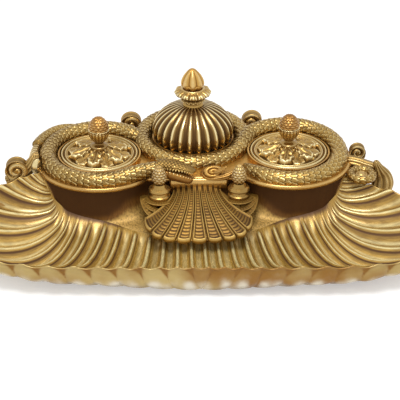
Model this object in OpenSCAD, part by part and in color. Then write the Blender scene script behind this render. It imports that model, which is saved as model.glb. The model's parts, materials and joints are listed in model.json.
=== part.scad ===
// Desk inkstand of gilt bronze: a wide fluted shell tray in front of a three-lobed well
// housing, with serpent coils, lift-off lids, two pinecone posts and a small front shell.
// Millimetres, +Z up, +X to the right, the front towards -Y. The origin is the middle of the
// bounding box on the resting plane.

/* [Wells] */
// Half the distance between the two side wells
well_spacing = 80.4; // [79:0.1:84]
// How far the centre well sits behind the side wells
well_setback = 29; // [27:0.5:31]
// Radius of the two flat lids
lid_r = 33.2; // [32:0.1:34]
// Radial gap between a lid and its collar
lid_gap = 0.6; // [0.4:0.1:1]
// Wall of a collar round a well
collar_t = 1.2; // [1:0.1:1.6]
// Height of a collar above the deck
collar_h = 5.5; // [4:0.5:7]
// Radius of the opening cut in the deck for each ink pot
opening_r = 31; // [30:0.5:31.5]

/* [Housing] */
// Height of the deck's upper face above the desk
deck_z = 47; // [44:0.5:52]
// Thickness of the deck plate
deck_t = 3; // [2:0.5:4]
// Wall of the housing casting
wall_t = 3; // [2:0.25:4]
// Overhang of the deck's ledge beyond the housing wall
ledge_over = 1.2; // [0.6:0.1:2]
// Width of deck left outside the coils
ledge_step = 2; // [1:0.1:3]
// Outward flare of the housing wall at its foot
foot_flare = 2; // [1:0.25:3]
// Distance from the side wells' line to the housing's flat front
front_wall_reach = 33.5; // [33:0.1:34.5]
// Half width of the housing's flat front
front_half_w = 37; // [36:0.5:38]

/* [Tray] */
// Half width of the shell tray, to the rim's edge
tray_half_w = 189.5; // [180:0.5:205]
// Distance from the side wells' line to the front rim
tray_reach = 143.5; // [138:0.5:150]
// How much farther forward the rim reaches per millimetre to the right
tray_slant = 0.03; // [0:0.005:0.04]
// Height of the front rim
rim_z = 27; // [24:0.5:31]
// Height at which the flutes leave the housing wall
flute_start_z = 14; // [13:0.5:16]
// Distance from the side wells' line to the tray's inner edge at the middle
apron_reach = 78; // [72:1:84]
// Thickness of the tray casting
tray_t = 4.2; // [3.6:0.2:5]
// Sag of the floor between the wall and the rim
floor_sag = 5; // [4:0.5:6]
// Depth of a flute's channel
flute_depth = 1.8; // [1:0.1:2.2]
// Width of a lobe along the rim
lobe_w = 20; // [16:1:26]
// Outward bulge of the rim's lobes
lobe_bulge = 2.4; // [1:0.1:3]

/* [Base] */
// Thickness of the baize pad
pad_t = 1.5; // [1:0.25:2.5]
// Thickness of the base plate
base_t = 2.5; // [2:0.25:3.5]
// Inset of the base plate from the housing's foot
base_inset = 1; // [0.5:0.25:3]
// Radius of a tie pillar
pillar_r = 4; // [3.5:0.25:5]
// Radius of a base screw's shank
screw_r = 1.6; // [1.25:0.05:2]

/* [Serpents] */
// Radius of the serpents' bodies
tube_r = 7.2; // [6.8:0.1:7.6]
// Gap between a collar and the coil round it
coil_gap = 1.4; // [1:0.1:1.8]
// Height of a coil's middle above the deck, on which its flattened underside lies
coil_rise = 3.8; // [3:0.1:5]
// Tilt of the coils, higher at the back
coil_tilt = 2.5; // [0:0.25:3]
// Tilt of the right coil
right_coil_tilt = 4; // [0:0.25:5]
// Angle at which the left coil leaves its circle for the neck
neck_angle = 68; // [64:1:72]
// Angle past the back at which a side coil meets the centre coil
join_angle = 60; // [58:1:66]

/* [Ink pots and lids] */
// Outer radius of an ink pot
pot_r = 30.2; // [29:0.1:30.6]
// Wall of an ink pot
pot_t = 2.8; // [2:0.1:3.5]
// Depth of an ink pot below the deck's upper face
pot_depth = 33; // [28:0.5:36]
// Thickness of an ink pot's flange
flange_t = 2.8; // [2:0.1:3.5]
// Wall of the sleeve that an ink pot hangs in
sleeve_t = 1; // [0.8:0.1:1.4]
// Radial gap between an ink pot and its sleeve
pot_gap = 0.4; // [0.2:0.1:0.7]
// Thickness of a flat lid's plate
lid_t = 2.6; // [2:0.1:3.2]
// Height of the raised relief on a flat lid
relief_h = 5.6; // [4:0.1:7]
// Radial gap between a lid's plug and the pot's mouth
plug_gap = 0.5; // [0.3:0.1:1]
// Height of a lid's plug
plug_h = 6; // [4:0.5:8]
// Wall of a lid's plug
plug_t = 2; // [1.5:0.1:2.5]
// Radius of a seed pod
pod_r = 9.05; // [7.5:0.05:9.5]
// Height of a seed pod with its calyx
pod_h = 28.4; // [24:0.2:31]

/* [Dome] */
// Radius of the ribbed dome
dome_r = 34.6; // [34:0.1:35.6]
// Rise of the dome above its skirt
dome_h = 28.6; // [25:0.1:31]
// Wall of the dome
dome_t = 2; // [1.6:0.1:2.6]
// Height of the dome's upright skirt above the pot's flange
skirt_h = 5.5; // [4:0.5:8]
// Radius of the leafy cup over the dome
cup_leaf_r = 15.8; // [13:0.2:17]
// Height of the leafy cup
cup_leaf_h = 16; // [14:0.5:18]
// Height of the bud above its leafy cup
bud_h = 17.8; // [14:0.2:20]
// Radius of the bud
bud_r = 9.7; // [8:0.1:10.5]

/* [Front shell and posts] */
// Half width of the front shell's top edge
shell_top_half = 20; // [18:0.5:22]
// Half width of the front shell
shell_half_w = 45; // [42:0.5:48]
// Distance from the side wells' line to the front shell's tip
shell_reach = 94; // [90:1:98]
// Height of the front shell's top edge
shell_top_z = 40; // [39:0.5:42]
// Height of the front shell's tip
shell_tip_z = 20.5; // [20:0.5:23]
// Thickness of the front shell
shell_t = 2.4; // [2:0.2:2.8]
// How far the front shell and the posts stand to the right
front_shift = 2.5; // [0:0.5:3]
// Half the distance between the two posts
post_x = 33; // [32.5:0.1:34]
// Distance from the side wells' line to the posts
post_reach = 44.5; // [44:0.1:46]
// Height of the posts' seat above the desk
post_seat_z = 35; // [34:0.5:37]
// Largest radius of a post
post_r = 9.2; // [8:0.1:9.4]
// Height of a post below its pinecone
post_h = 11.5; // [10:0.5:13]
// Radius of a pinecone
cone_r = 6.4; // [5.5:0.1:7]
// Height of a pinecone
cone_h = 17; // [14:0.5:20]

/* [Scrolls] */
// Radius of the two back scrolls
back_scroll_r = 9.2; // [7:0.1:10]
// How much lower the rim's back corner lies on the right
right_drop = 8; // [0:0.5:9]
// Radius of the two end scrolls
end_scroll_r = 9.5; // [8:0.1:11]
// Distance of the left end scroll from the middle plane
end_scroll_x = 149.5; // [148:0.5:152]
// Height of the left end scroll's axis
end_scroll_z = 47; // [45:0.5:50]
// How much farther out, and how much lower, the right end scroll stands
right_scroll_shift = 12.5; // [11:0.5:14]
right_scroll_drop = 6; // [4:0.5:8]
// Width of a scroll along its axis
scroll_w = 11; // [8:0.5:13]

/* [Hidden] */

BRONZE = "goldenrod";
PALE_BRONZE = "burlywood";
BURNISHED = "saddlebrown";
RED_GOLD = "peru";

// Radii from a well's axis outwards
collar_ri = lid_r + lid_gap;
collar_ro = collar_ri + collar_t;
coil_r = collar_ro + coil_gap + tube_r;
ledge_r = coil_r + tube_r + ledge_step;
wall_r = ledge_r - ledge_over;
start_r = wall_r + foot_flare;
// Heights from the desk upwards
base_z = pad_t + base_t;
wall_top = deck_z - deck_t;
coil_z = deck_z + coil_rise;
flange_top = deck_z + flange_t;
// The bounding box is centred on the origin: the slanted front rim against the housing's back
slant_reach = 1.9;
well_y = (tray_reach + slant_reach + lobe_bulge - (well_setback + max(ledge_r, start_r))) / 2;

left_well = [-well_spacing, well_y];
right_well = [well_spacing, well_y];
centre_well = [0, well_y + well_setback];

// Flutes from the middle of the tray to its end, and where each is sampled
half_flutes = 16.5;
fillet_half = 0.08;
flute_steps = [fillet_half, 0.3, 0.5, 0.7, 1 - fillet_half];

function mix(a, b, t) = a + (b - a) * t;
function ramp(a, b, x) = let (t = max(0, min(1, (x - a) / (b - a)))) t * t * (3 - 2 * t);
function polar(c, r, a) = [c[0] + r * cos(a), c[1] + r * sin(a)];
function row_slope(p, i) =
    let (a = p[max(0, i - 1)], b = p[min(len(p) - 1, i + 1)]) (b - a) / (b[0] - a[0]);
// A smooth curve through rows whose first number is the parameter
function curve(p, s, i = 0) =
    i < len(p) - 2 && s > p[i + 1][0] ? curve(p, s, i + 1)
    : let (
        a = p[i], b = p[i + 1], h = b[0] - a[0], t = (s - a[0]) / h,
        ma = row_slope(p, i) * h, mb = row_slope(p, i + 1) * h
    )
    (2 * t ^ 3 - 3 * t ^ 2 + 1) * a + (t ^ 3 - 2 * t ^ 2 + t) * ma
    + (3 * t ^ 2 - 2 * t ^ 3) * b + (t ^ 3 - t ^ 2) * mb;
// The same curve continued to the left by mirroring
function mirrored(p, s) =
    let (q = curve(p, abs(s))) [(s < 0 ? -1 : 1) * q[1], q[2], q[3]];
function flat(p) = [p[0], p[1]];
function at(p, z) = [p[0], p[1], z];

// Rim: [flute, x, y, z], as shares of the tray's own half width, reach and heights
rim_back_z = deck_z;
function rim_row(s, x, y, z) =
    [s, x * tray_half_w, well_y - tray_reach * y, mix(rim_z, rim_back_z, z)];
RIM = [
    rim_row(0, 0, 1, 0), rim_row(1.5, 0.097, 1, 0), rim_row(3.5, 0.248, 1, 0),
    rim_row(5.5, 0.422, 0.997, 0), rim_row(7.5, 0.628, 0.987, 0), rim_row(8.5, 0.734, 0.97, 0),
    rim_row(9.5, 0.86, 0.913, 0.02), rim_row(10.5, 0.955, 0.785, 0.1),
    rim_row(11.5, 1, 0.59, 0.25), rim_row(12.5, 0.971, 0.396, 0.45),
    rim_row(13.5, 0.86, 0.262, 0.65), rim_row(14.5, 0.776, 0.201, 0.8),
    rim_row(15.5, 0.723, 0.174, 0.9), rim_row(16.5, 0.678, 0.161, 1)
];
// Where the flutes leave the wall: [flute, angle round the side well, reach beyond the wall, z]
start_top = wall_top - 1;
function start_row(s, a, out, z) =
    let (p = polar(right_well, start_r + out, -a))
    [s, p[0], p[1], mix(flute_start_z, start_top, z)];
START = [
    [0, 0, well_y - apron_reach, flute_start_z],
    [2.5, 27, well_y - apron_reach + 2, flute_start_z],
    start_row(4.5, 114.4, 19.4, 0), start_row(5.5, 106, 9, 0), start_row(6.5, 95.5, 2.3, 0),
    start_row(7.5, 82, 0, 0), start_row(8.5, 70, 0, 0), start_row(9.5, 63, 0, 0.02),
    start_row(10.5, 58, 0, 0.07), start_row(11.5, 53.5, 0, 0.17), start_row(12.5, 49.5, 0, 0.31),
    start_row(13.5, 45.5, 0, 0.48), start_row(14.5, 41.5, 0, 0.68),
    start_row(15.5, 36.5, 0, 0.86), start_row(16.5, 31, 0, 1)
];
// The housing's upper edge, under the ledge
function wall_row(s, a) = let (p = polar(right_well, wall_r, -a)) [s, p[0], p[1], 0];
WALL = [
    [0, 0, well_y - front_wall_reach, 0],
    [1.5, front_half_w / 2, well_y - front_wall_reach, 0],
    [3, front_half_w, well_y - front_wall_reach, 0],
    wall_row(3.75, 136.5), wall_row(4.5, 123.5), wall_row(5.5, 109.5), wall_row(6.5, 97),
    wall_row(7.5, 84), wall_row(8.5, 71.5), wall_row(9.5, 62), wall_row(10.5, 56),
    wall_row(11.5, 51.5), wall_row(12.5, 47.5), wall_row(13.5, 44), wall_row(14.5, 40),
    wall_row(15.5, 35.5), wall_row(16.5, 31)
];
wall_end_angle = 31;

stations = concat(
    [-half_flutes],
    [for (b = [-half_flutes : half_flutes - 1]) for (f = flute_steps) b + f],
    [half_flutes]
);

// Tray surface
left_slant_kept = 0.26;
function slant(s) = tray_slant * (s < 0 ? mix(1, left_slant_kept, ramp(13.5, 16.5, -s)) : 1);
function rim(s) =
    let (q = mirrored(RIM, s))
    [q[0], q[1] - slant(s) * q[0], q[2] - (s > 0 ? right_drop * ramp(11.5, 15.5, s) : 0)];
function start(s) = mirrored(START, s);
rim_nudge = 0.05;
function rim_normal(s) =
    let (
        a = rim(max(-half_flutes, s - rim_nudge)), b = rim(min(half_flutes, s + rim_nudge)),
        d = [b[1] - a[1], a[0] - b[0]]
    ) d / norm(d);
// A flute runs straight near the middle and bends outwards towards the ends
function flute_knee(s) =
    let (f = start(s), r = rim(s), b = ramp(4, 10, abs(s)))
    [f[0] + mix(0.5, 0.28, b) * (r[0] - f[0]), r[1] + mix(0.5, 0.23, b) * (f[1] - r[1])];
function flute_path(s, v) =
    (1 - v) ^ 2 * flat(start(s)) + 2 * v * (1 - v) * flute_knee(s) + v ^ 2 * flat(rim(s));
function flute_length(s) = norm(flat(rim(s)) - flat(start(s)));
full_length = 60;
function floor_z(s, v) =
    let (f = start(s), r = rim(s), sag = floor_sag * min(1, flute_length(s) / full_length))
    f[2] + (r[2] - f[2]) * v ^ 3 - sag * 4 * v * (1 - v);
function channel(s) =
    let (f = s + half_flutes - floor(s + half_flutes))
    f < fillet_half * 1.5 || f > 1 - fillet_half * 1.5 ? 0 : sin(180 * f) ^ 0.7;
function flute_z(s, v) = floor_z(s, v) - flute_depth * channel(s) * ramp(0, 0.15, v);
// Lobes under the rim, counted along the rim
lobe_bottom_z = base_z + 0.5;
front_lip = rim_z - lobe_bottom_z;
end_lip = 10;
function lip_tuck(s) = mix(1.5, 9, ramp(0, 8, abs(s)));
function rim_lip(s) = mix(front_lip, end_lip, ramp(6.5, 12.5, abs(s)));
rim_steps = [
    for (i = 0, a = 0; i < len(stations); i = i + 1,
         a = a + (i < len(stations) ? norm(flat(rim(stations[i])) - flat(rim(stations[i - 1]))) : 0)) a
];
rim_length = rim_steps[len(stations) - 1];
function lobe(i) = abs(cos(180 * (rim_steps[i] - rim_length / 2) / lobe_w)) ^ 0.6;
SECTION = [0, 0.06, 0.15, 0.3, 0.45, 0.6, 0.8, 0.9, 0.96, 1];
function under_point(i, j) =
    let (
        s = stations[i], v = SECTION[j], n = rim_normal(s), r = rim(s), lip = rim_lip(s),
        bulge = lobe_bulge * lobe(i) * (1 - ramp(12.5, 14, abs(s))),
        tuck = min(lip_tuck(s), flute_length(s) * 0.1)
    )
    v == 1 ? at(flat(r) + bulge * n, r[2] - 0.25 * lip)
    : v > 0.95 ? at(flat(r) + (bulge * 0.6 - tuck * 0.1) * n, r[2] - 0.62 * lip)
    : v > 0.85 ? at(flat(r) - tuck * n, r[2] - lip)
    : at(flute_path(s, v), floor_z(s, v) - tray_t);
function tray_ring(i) = concat(
    [for (v = SECTION) at(flute_path(stations[i], v), flute_z(stations[i], v))],
    [for (j = [len(SECTION) - 1 : -1 : 0]) under_point(i, j)]
);

// A closed solid through rings of equal length; its ends are closed by strips
function flatten(rings) = [for (r = rings) each r];
function tube_faces(count, n, wrap) = [
    for (i = [0 : count - (wrap ? 1 : 2)]) for (j = [0 : n - 1])
        let (a = i * n, b = ((i + 1) % count) * n, k = (j + 1) % n)
        each [[a + j, a + k, b + k], [a + j, b + k, b + j]]
];
function cap_faces(offset, n, turned) = [
    for (j = [0 : n / 2 - 2])
        let (a = offset + j, b = offset + j + 1, c = offset + n - 2 - j, d = offset + n - 1 - j)
        each turned ? [[a, c, b], [a, d, c]] : [[a, b, c], [a, c, d]]
];
module skin(rings, wrap) {
    n = len(rings[0]);
    count = len(rings);
    caps = wrap ? [] : concat(cap_faces(0, n, true), cap_faces((count - 1) * n, n, false));
    polyhedron(flatten(rings), concat(tube_faces(count, n, wrap), caps));
}

// Housing ring: a station is [upper edge, foot edge, height of the foot edge, inward direction]
lean = atan(well_setback / well_spacing);
well_gap = norm([well_spacing, well_setback]);
function valley(r) = acos(well_gap / 2 / r);
function side_end(r) = 180 - lean - valley(r);
function centre_start(r) = valley(r) - lean;
function inward(p) = let (c = [max(-well_spacing, min(well_spacing, p[0])), well_y]) (c - p) / norm(c - p);
front_stations = [
    for (s = stations) let (f = start(s)) [flat(mirrored(WALL, s)), flat(f), f[2], inward(flat(f))]
];
side_cuts = 18;
centre_cuts = 16;
function arc_station(c, wa, fa) = [
    polar(c, wall_r, wa), polar(c, start_r, fa), flute_start_z, -[cos(fa), sin(fa)]
];
function side_station(t) = arc_station(
    right_well, mix(-wall_end_angle, side_end(wall_r), t), mix(-wall_end_angle, side_end(start_r), t)
);
function centre_station(t) = arc_station(
    centre_well, mix(centre_start(wall_r), 180 - centre_start(wall_r), t),
    mix(centre_start(start_r), 180 - centre_start(start_r), t)
);
function mirror_xy(p) = [-p[0], p[1]];
function mirror_station(q) = [mirror_xy(q[0]), mirror_xy(q[1]), q[2], mirror_xy(q[3])];
housing_stations = concat(
    front_stations,
    [for (i = [1 : side_cuts]) side_station(i / side_cuts)],
    [for (i = [1 : centre_cuts - 1]) centre_station(i / centre_cuts)],
    [for (i = [side_cuts : -1 : 1]) mirror_station(side_station(i / side_cuts))]
);
upright_z = post_seat_z - 6;
function housing_ring(q) =
    let (
        u = q[0], f = q[1], z = q[2], n = wall_t * q[3], m = max(upright_z, (wall_top + z) / 2),
        cove = at(mix(u, f, 0.35), mix(m, z, 0.75)), under = [n[0], n[1], -wall_t]
    )
    [
        at(u, wall_top), at(u, m), cove, at(f, z), at(f, base_z), at(f + n, base_z),
        at(f, z) + under, cove + under, at(u, m) + under, at(u + n, wall_top)
    ];

// Pieces of the body
module at_wells(z) {
    for (c = [left_well, centre_well, right_well]) translate([c[0], c[1], z]) children();
}
module lobed_plate(r, reach, half_w) {
    for (c = [left_well, centre_well, right_well]) translate(c) circle(r);
    translate([-half_w, well_y - reach]) square([2 * half_w, reach + well_setback]);
}
module shell_tray() {
    color(BRONZE) skin([for (i = [len(stations) - 1 : -1 : 0]) tray_ring(i)], false);
}
// The housing is cast in four walls that meet end to end
ring_count = len(housing_stations);
front_wall_share = 0.28;
front_cut = round((len(stations) - 1) * (1 - front_wall_share) / 2);
left_corner = ring_count - side_cuts;
right_corner = len(stations) - 1 + side_cuts;
module wall(from, to) {
    color(BURNISHED) skin([for (i = [from : to]) housing_ring(housing_stations[i % ring_count])], false);
}
module wall_front() { wall(front_cut, len(stations) - 1 - front_cut); }
module wall_right() { wall(len(stations) - 1 - front_cut, right_corner); }
module wall_back() { wall(right_corner, left_corner); }
module wall_left() { wall(left_corner, ring_count + front_cut); }
deck_front = front_wall_reach + ledge_over;
deck_half_w = front_half_w + 5;
module deck_plate() {
    color(RED_GOLD) translate([0, 0, wall_top]) difference() {
        linear_extrude(deck_t) lobed_plate(ledge_r, deck_front, deck_half_w);
        at_wells(-1) cylinder(h = deck_t + 2, r = opening_r);
    }
}
moulding_half_w = post_x - post_r - 0.8;
moulding_d = 4.2;
moulding_z = post_seat_z + 0.5;
fillet_share = 0.6;
module front_moulding() {
    h = wall_top - moulding_z;
    back = moulding_d * fillet_share;
    bead_r = moulding_d - back;
    color(RED_GOLD) translate([front_shift, well_y - front_wall_reach - 0.1, moulding_z + h / 2])
        rotate([0, 90, 0]) translate([0, 0, -moulding_half_w]) union() {
            translate([-h / 2, -back, 0]) cube([h, back, 2 * moulding_half_w]);
            for (x = [-h / 4, h / 4])
                translate([x, -back, 0]) cylinder(h = 2 * moulding_half_w, r = bead_r);
        }
}
plate_r = start_r - base_inset;
plate_reach = apron_reach - 12;
plate_half_w = front_half_w + 8;
// Where the pillars stand, measured from the middle of the side wells' line
PILLARS = [[-46, -18], [0, -24], [46, -18], [-46, 33], [46, 33]];
pillar_bore_depth = 14;
module at_pillars(z) {
    for (q = PILLARS) translate([q[0], well_y + q[1], z]) children();
}
screw_head_r = 2 * screw_r;
module base_plate() {
    color(PALE_BRONZE) translate([0, 0, pad_t]) difference() {
        linear_extrude(base_t) lobed_plate(plate_r, plate_reach, plate_half_w);
        at_pillars(-1) cylinder(h = base_t + 2, r = screw_r + 0.2);
        at_pillars(-1) cylinder(h = 1 + base_t / 2, r = screw_head_r + 0.2);
    }
}
pad_inset = 3;
module felt_pad() {
    color("darkolivegreen") linear_extrude(pad_t)
        lobed_plate(plate_r - pad_inset, plate_reach - pad_inset, plate_half_w - pad_inset);
}
module base_screws() {
    color("silver") at_pillars(pad_t) union() {
        cylinder(h = base_t / 2 - 0.1, r = screw_head_r);
        cylinder(h = base_t + pillar_bore_depth - 2, r = screw_r);
    }
}
module tie_pillars() {
    color(PALE_BRONZE) at_pillars(base_z) difference() {
        cylinder(h = wall_top - base_z, r = pillar_r);
        translate([0, 0, -1]) cylinder(h = pillar_bore_depth + 1, r = screw_r + 0.05);
    }
}

// Ink pots, their sleeves and the collars round them
sleeve_ri = pot_r + pot_gap;
sleeve_bottom = deck_z - pot_depth - sleeve_t - 1;
module sleeve(c) {
    color(PALE_BRONZE) translate([c[0], c[1], sleeve_bottom]) difference() {
        union() {
            cylinder(h = wall_top - sleeve_bottom, r = sleeve_ri + sleeve_t);
            translate([0, 0, wall_top - sleeve_bottom - sleeve_t]) cylinder(h = sleeve_t, r = sleeve_ri + 4);
        }
        translate([0, 0, sleeve_t]) cylinder(h = deck_z, r = sleeve_ri);
    }
}
module sleeve_left() { sleeve(left_well); }
module sleeve_centre() { sleeve(centre_well); }
module sleeve_right() { sleeve(right_well); }
module collar(c) {
    color(RED_GOLD) translate([c[0], c[1], deck_z]) difference() {
        cylinder(h = collar_h, r = collar_ro);
        translate([0, 0, -1]) cylinder(h = collar_h + 2, r = collar_ri);
    }
}
module collar_left() { collar(left_well); }
module collar_centre() { collar(centre_well); }
module collar_right() { collar(right_well); }
pot_mouth_r = pot_r - pot_t;
module pot(c) {
    color("aliceblue") translate([c[0], c[1], deck_z]) difference() {
        union() {
            translate([0, 0, -pot_depth]) cylinder(h = pot_depth + flange_t, r = pot_r);
            cylinder(h = flange_t, r = lid_r);
        }
        translate([0, 0, pot_t - pot_depth]) cylinder(h = pot_depth + flange_t, r = pot_mouth_r);
    }
}
module pot_left() { pot(left_well); }
module pot_centre() { pot(centre_well); }
module pot_right() { pot(right_well); }

// Serpents: a coil is part of a tilted ring, flattened where it lies on the deck
function tilt(c) = c == right_well ? right_coil_tilt : coil_tilt;
module coil(c, from, sweep) {
    translate([c[0], c[1], coil_z]) rotate([tilt(c), 0, 0]) rotate([0, 0, from])
        rotate_extrude(angle = sweep) translate([coil_r, 0]) circle(tube_r);
}
function on_coil(c, a) = [
    c[0] + coil_r * cos(a), c[1] + coil_r * sin(a) * cos(tilt(c)), coil_z + coil_r * sin(a) * sin(tilt(c))
];
module flattened() {
    difference() {
        children();
        translate([-tray_half_w, -tray_reach, deck_z - 2 * tube_r])
            cube([2 * tray_half_w, 2 * tray_reach, 2 * tube_r]);
    }
}
// A scaly body that lies on the deck with a flat underside, through points [x, y, z, radius]
snake_sides = 20;
coil_step = 6;
function heading(path, i) =
    let (d = flat(path[min(len(path) - 1, i + 1)]) - flat(path[max(0, i - 1)])) d / norm(d);
function snake_ring(q, d) = [
    for (k = [0 : snake_sides - 1])
        let (a = (k + 0.5) * 360 / snake_sides - 90)
        [q[0] - d[1] * q[3] * cos(a), q[1] + d[0] * q[3] * cos(a), max(deck_z, q[2] + q[3] * sin(a))]
];
module snake(path) {
    skin([for (i = [0 : len(path) - 1]) snake_ring(path[i], heading(path, i))], false);
}
function coil_points(c, from, to) = let (n = ceil(abs(to - from) / coil_step)) [
    for (i = [0 : n]) concat(on_coil(c, mix(from, to, i / n)), tube_r)
];
// The neck and head: [step, x, y from the wells' line, height above the deck, share of the tube]
HEAD = [
    [1, -50, -35.6, 4.5, 0.96], [2, -37, -31.5, 5.6, 0.88], [3, -24, -31.5, 6.4, 0.88],
    [4, -13, -34.2, 5.2, 0.66], [5, -3, -36.4, 3.6, 0.44]
];
neck_rows = concat(
    [concat(0, on_coil(left_well, -neck_angle), tube_r)],
    [for (q = HEAD) [q[0], q[1], well_y + q[2], deck_z + q[3], tube_r * q[4]]]
);
neck_step = 0.25;
neck_points = [
    for (s = [neck_step : neck_step : len(HEAD)])
        let (q = curve(neck_rows, s)) [q[1], q[2], q[3], q[4]]
];
module serpent_left() {
    color(BRONZE) snake(concat(coil_points(left_well, join_angle, 360 - neck_angle), neck_points));
}
module serpent_centre() {
    color(BRONZE) difference() {
        flattened() coil(centre_well, 0, 360);
        for (c = [left_well, right_well])
            translate([c[0], c[1], deck_z - 1]) cylinder(h = collar_h + 2, r = collar_ro + 0.1);
    }
}
tail_end_angle = 122;
tail_taper_angle = 12;
tail_cuts = 4;
tail_points = [
    for (i = [tail_cuts : -1 : 1]) concat(
        on_coil(right_well, -tail_end_angle - tail_taper_angle * i / tail_cuts),
        tube_r * mix(1, 0.5, (i / tail_cuts) ^ 2)
    )
];
module serpent_right() {
    color(BRONZE)
        snake(concat(tail_points, coil_points(right_well, -tail_end_angle, 180 - join_angle)));
}

// Scrolls and leaves round the body
module clear_of_wells() {
    difference() {
        children();
        for (c = [left_well, centre_well, right_well])
            translate([c[0], c[1], base_z - 1]) cylinder(h = deck_z, r = wall_r + 0.1);
        for (c = [left_well, centre_well, right_well])
            translate([c[0], c[1], wall_top - 0.1]) cylinder(h = deck_t + 0.2, r = ledge_r + 0.1);
    }
}
// A roll with its axis towards the front
module roll(x, y, z, r, w) {
    translate([x, y, z]) rotate([90, 0, 0]) cylinder(h = w, r = r);
}
back_scroll_x = 53.5;
back_scroll_z = deck_z + 2.5;
back_scroll_y = well_y + 66;
stem_w = 8;
stem_reach = 22;
stem_bottom = upright_z + 1;
module back_scroll(side) {
    color(BRONZE) clear_of_wells() union() {
        roll(side * back_scroll_x, back_scroll_y, back_scroll_z, back_scroll_r, scroll_w);
        translate([side * back_scroll_x - stem_w / 2, back_scroll_y - stem_reach, stem_bottom])
            cube([stem_w, stem_reach, deck_z - stem_bottom]);
        translate([side * back_scroll_x - stem_w / 2, back_scroll_y - scroll_w, stem_bottom])
            cube([stem_w, scroll_w, back_scroll_z - stem_bottom]);
    }
}
module back_scroll_left() { back_scroll(-1); }
module back_scroll_right() { back_scroll(1); }
// Brackets reach from the housing wall out to the scrolls at the ends
bracket_root = 8;
bracket_in = well_spacing + wall_r - bracket_root;
bracket_w = 5.5;
bracket_h = 8;
stem_half = end_scroll_r - 0.8;
end_scroll_forward = 12.5;
end_scroll_y = well_y - end_scroll_forward;
left_scroll_back = 1.2;
module end_scroll(side, x, y, z) {
    low = upright_z + 1;
    color(BRONZE) clear_of_wells() union() {
        roll(side * x, y, z, end_scroll_r, scroll_w);
        translate([side > 0 ? bracket_in : -x, y - bracket_w, low])
            cube([x - bracket_in, bracket_w, bracket_h]);
        translate([side * x - stem_half, y - bracket_w, low]) cube([2 * stem_half, bracket_w, z - low]);
    }
}
module end_scroll_left() { end_scroll(-1, end_scroll_x, end_scroll_y + left_scroll_back, end_scroll_z); }
module end_scroll_right() {
    end_scroll(1, end_scroll_x + right_scroll_shift, end_scroll_y, end_scroll_z - right_scroll_drop);
}
ear_r = 7;
ear_x = 141;
ear_z = 45;
ear_y = well_y + 14;
ear_w = 8;
module ear_scroll_right() {
    color(BRONZE) clear_of_wells() union() {
        roll(ear_x, ear_y, ear_z, ear_r, ear_w);
        translate([bracket_in, ear_y - ear_w, upright_z + 3]) cube([ear_x - bracket_in, ear_w, bracket_h]);
    }
}
// Section of the leaf band beside the left coil: [radius, height above the deck]
leaf_in = coil_r + tube_r + 0.5;
LEAF_BAND = [
    [leaf_in, 0], [ledge_r + 0.2, 0], [ledge_r + 0.2, -9], [ledge_r + 4, -9], [ledge_r + 7, 0],
    [ledge_r + 5, 7], [leaf_in + 2, 9], [leaf_in, 6]
];
leaf_angle = 156;
leaf_sweep = 42;
module leaf_band_left() {
    color(BRONZE) translate([left_well[0], left_well[1], deck_z]) rotate([0, 0, leaf_angle])
        rotate_extrude(angle = leaf_sweep) polygon(LEAF_BAND);
}
loop_r = 8.8;
loop_tube = 3.8;
loop_x = 139.8;
loop_y = well_y - 29;
module tail_loop_right() {
    color(BRONZE) translate([loop_x, loop_y, upright_z + 1 + bracket_h + loop_tube + 0.2]) union() {
        rotate_extrude() translate([loop_r, 0]) circle(loop_tube);
        translate([0, 0, -loop_tube]) cylinder(h = loop_tube, r = loop_r);
    }
}
curl_r = 4.8;
curl_x = 10;
curl_y = well_y - 27;
curl_w = 8.6;
leaf_slope_l = 16;
module curled_leaf() {
    color(RED_GOLD) union() {
        roll(curl_x, curl_y, deck_z + curl_r, curl_r, curl_w);
        hull() {
            translate([curl_x, curl_y - curl_w, deck_z + 1]) cube([curl_r / 2, curl_w - 1, curl_r / 2]);
            translate([curl_x + leaf_slope_l, curl_y - curl_w, deck_z]) cube([1, curl_w - 1, 1]);
        }
    }
}

// Front shell: fans out from its top edge and curls round the posts
shell_flutes = 9;
shell_steps = 36;
shell_x = front_shift - 1.5;
SHELL_ROWS = [0, 0.1, 0.2, 0.35, 0.5, 0.65, 0.8, 0.92, 1];
shell_top_y = well_y - front_wall_reach - moulding_d - 0.6;
shell_fan = 72;
shell_bow = 3;
shell_groove = 1.2;
shell_arch = 4.5;
side_rise = 8;
side_return = 25;
function shell_tip(t) = [
    shell_half_w * sin(shell_fan * t) / sin(shell_fan),
    well_y - shell_reach + side_return * abs(t) ^ 5, shell_tip_z + side_rise * t ^ 2
];
function shell_point(t, v) =
    let (
        a = [shell_top_half * t, shell_top_y, shell_top_z - shell_bow * t ^ 2], b = shell_tip(t),
        groove = shell_groove * abs(cos(90 * shell_flutes * t)) * ramp(0, 0.3, v)
    )
    [
        shell_x + a[0] + (b[0] - a[0]) * v ^ 2.2, mix(a[1], b[1], v),
        mix(a[2], b[2], v) + shell_arch * sin(180 * v) * (1 - t ^ 2) + groove
    ];
function shell_ring(t) = concat(
    [for (v = SHELL_ROWS) shell_point(t, v)],
    [for (i = [len(SHELL_ROWS) - 1 : -1 : 0]) shell_point(t, SHELL_ROWS[i]) - [0, 0, shell_t]]
);
module front_shell() {
    rings = [for (i = [-shell_steps / 2 : shell_steps / 2]) shell_ring(i * 2 / shell_steps)];
    color(BRONZE) skin(rings, false);
}

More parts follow.
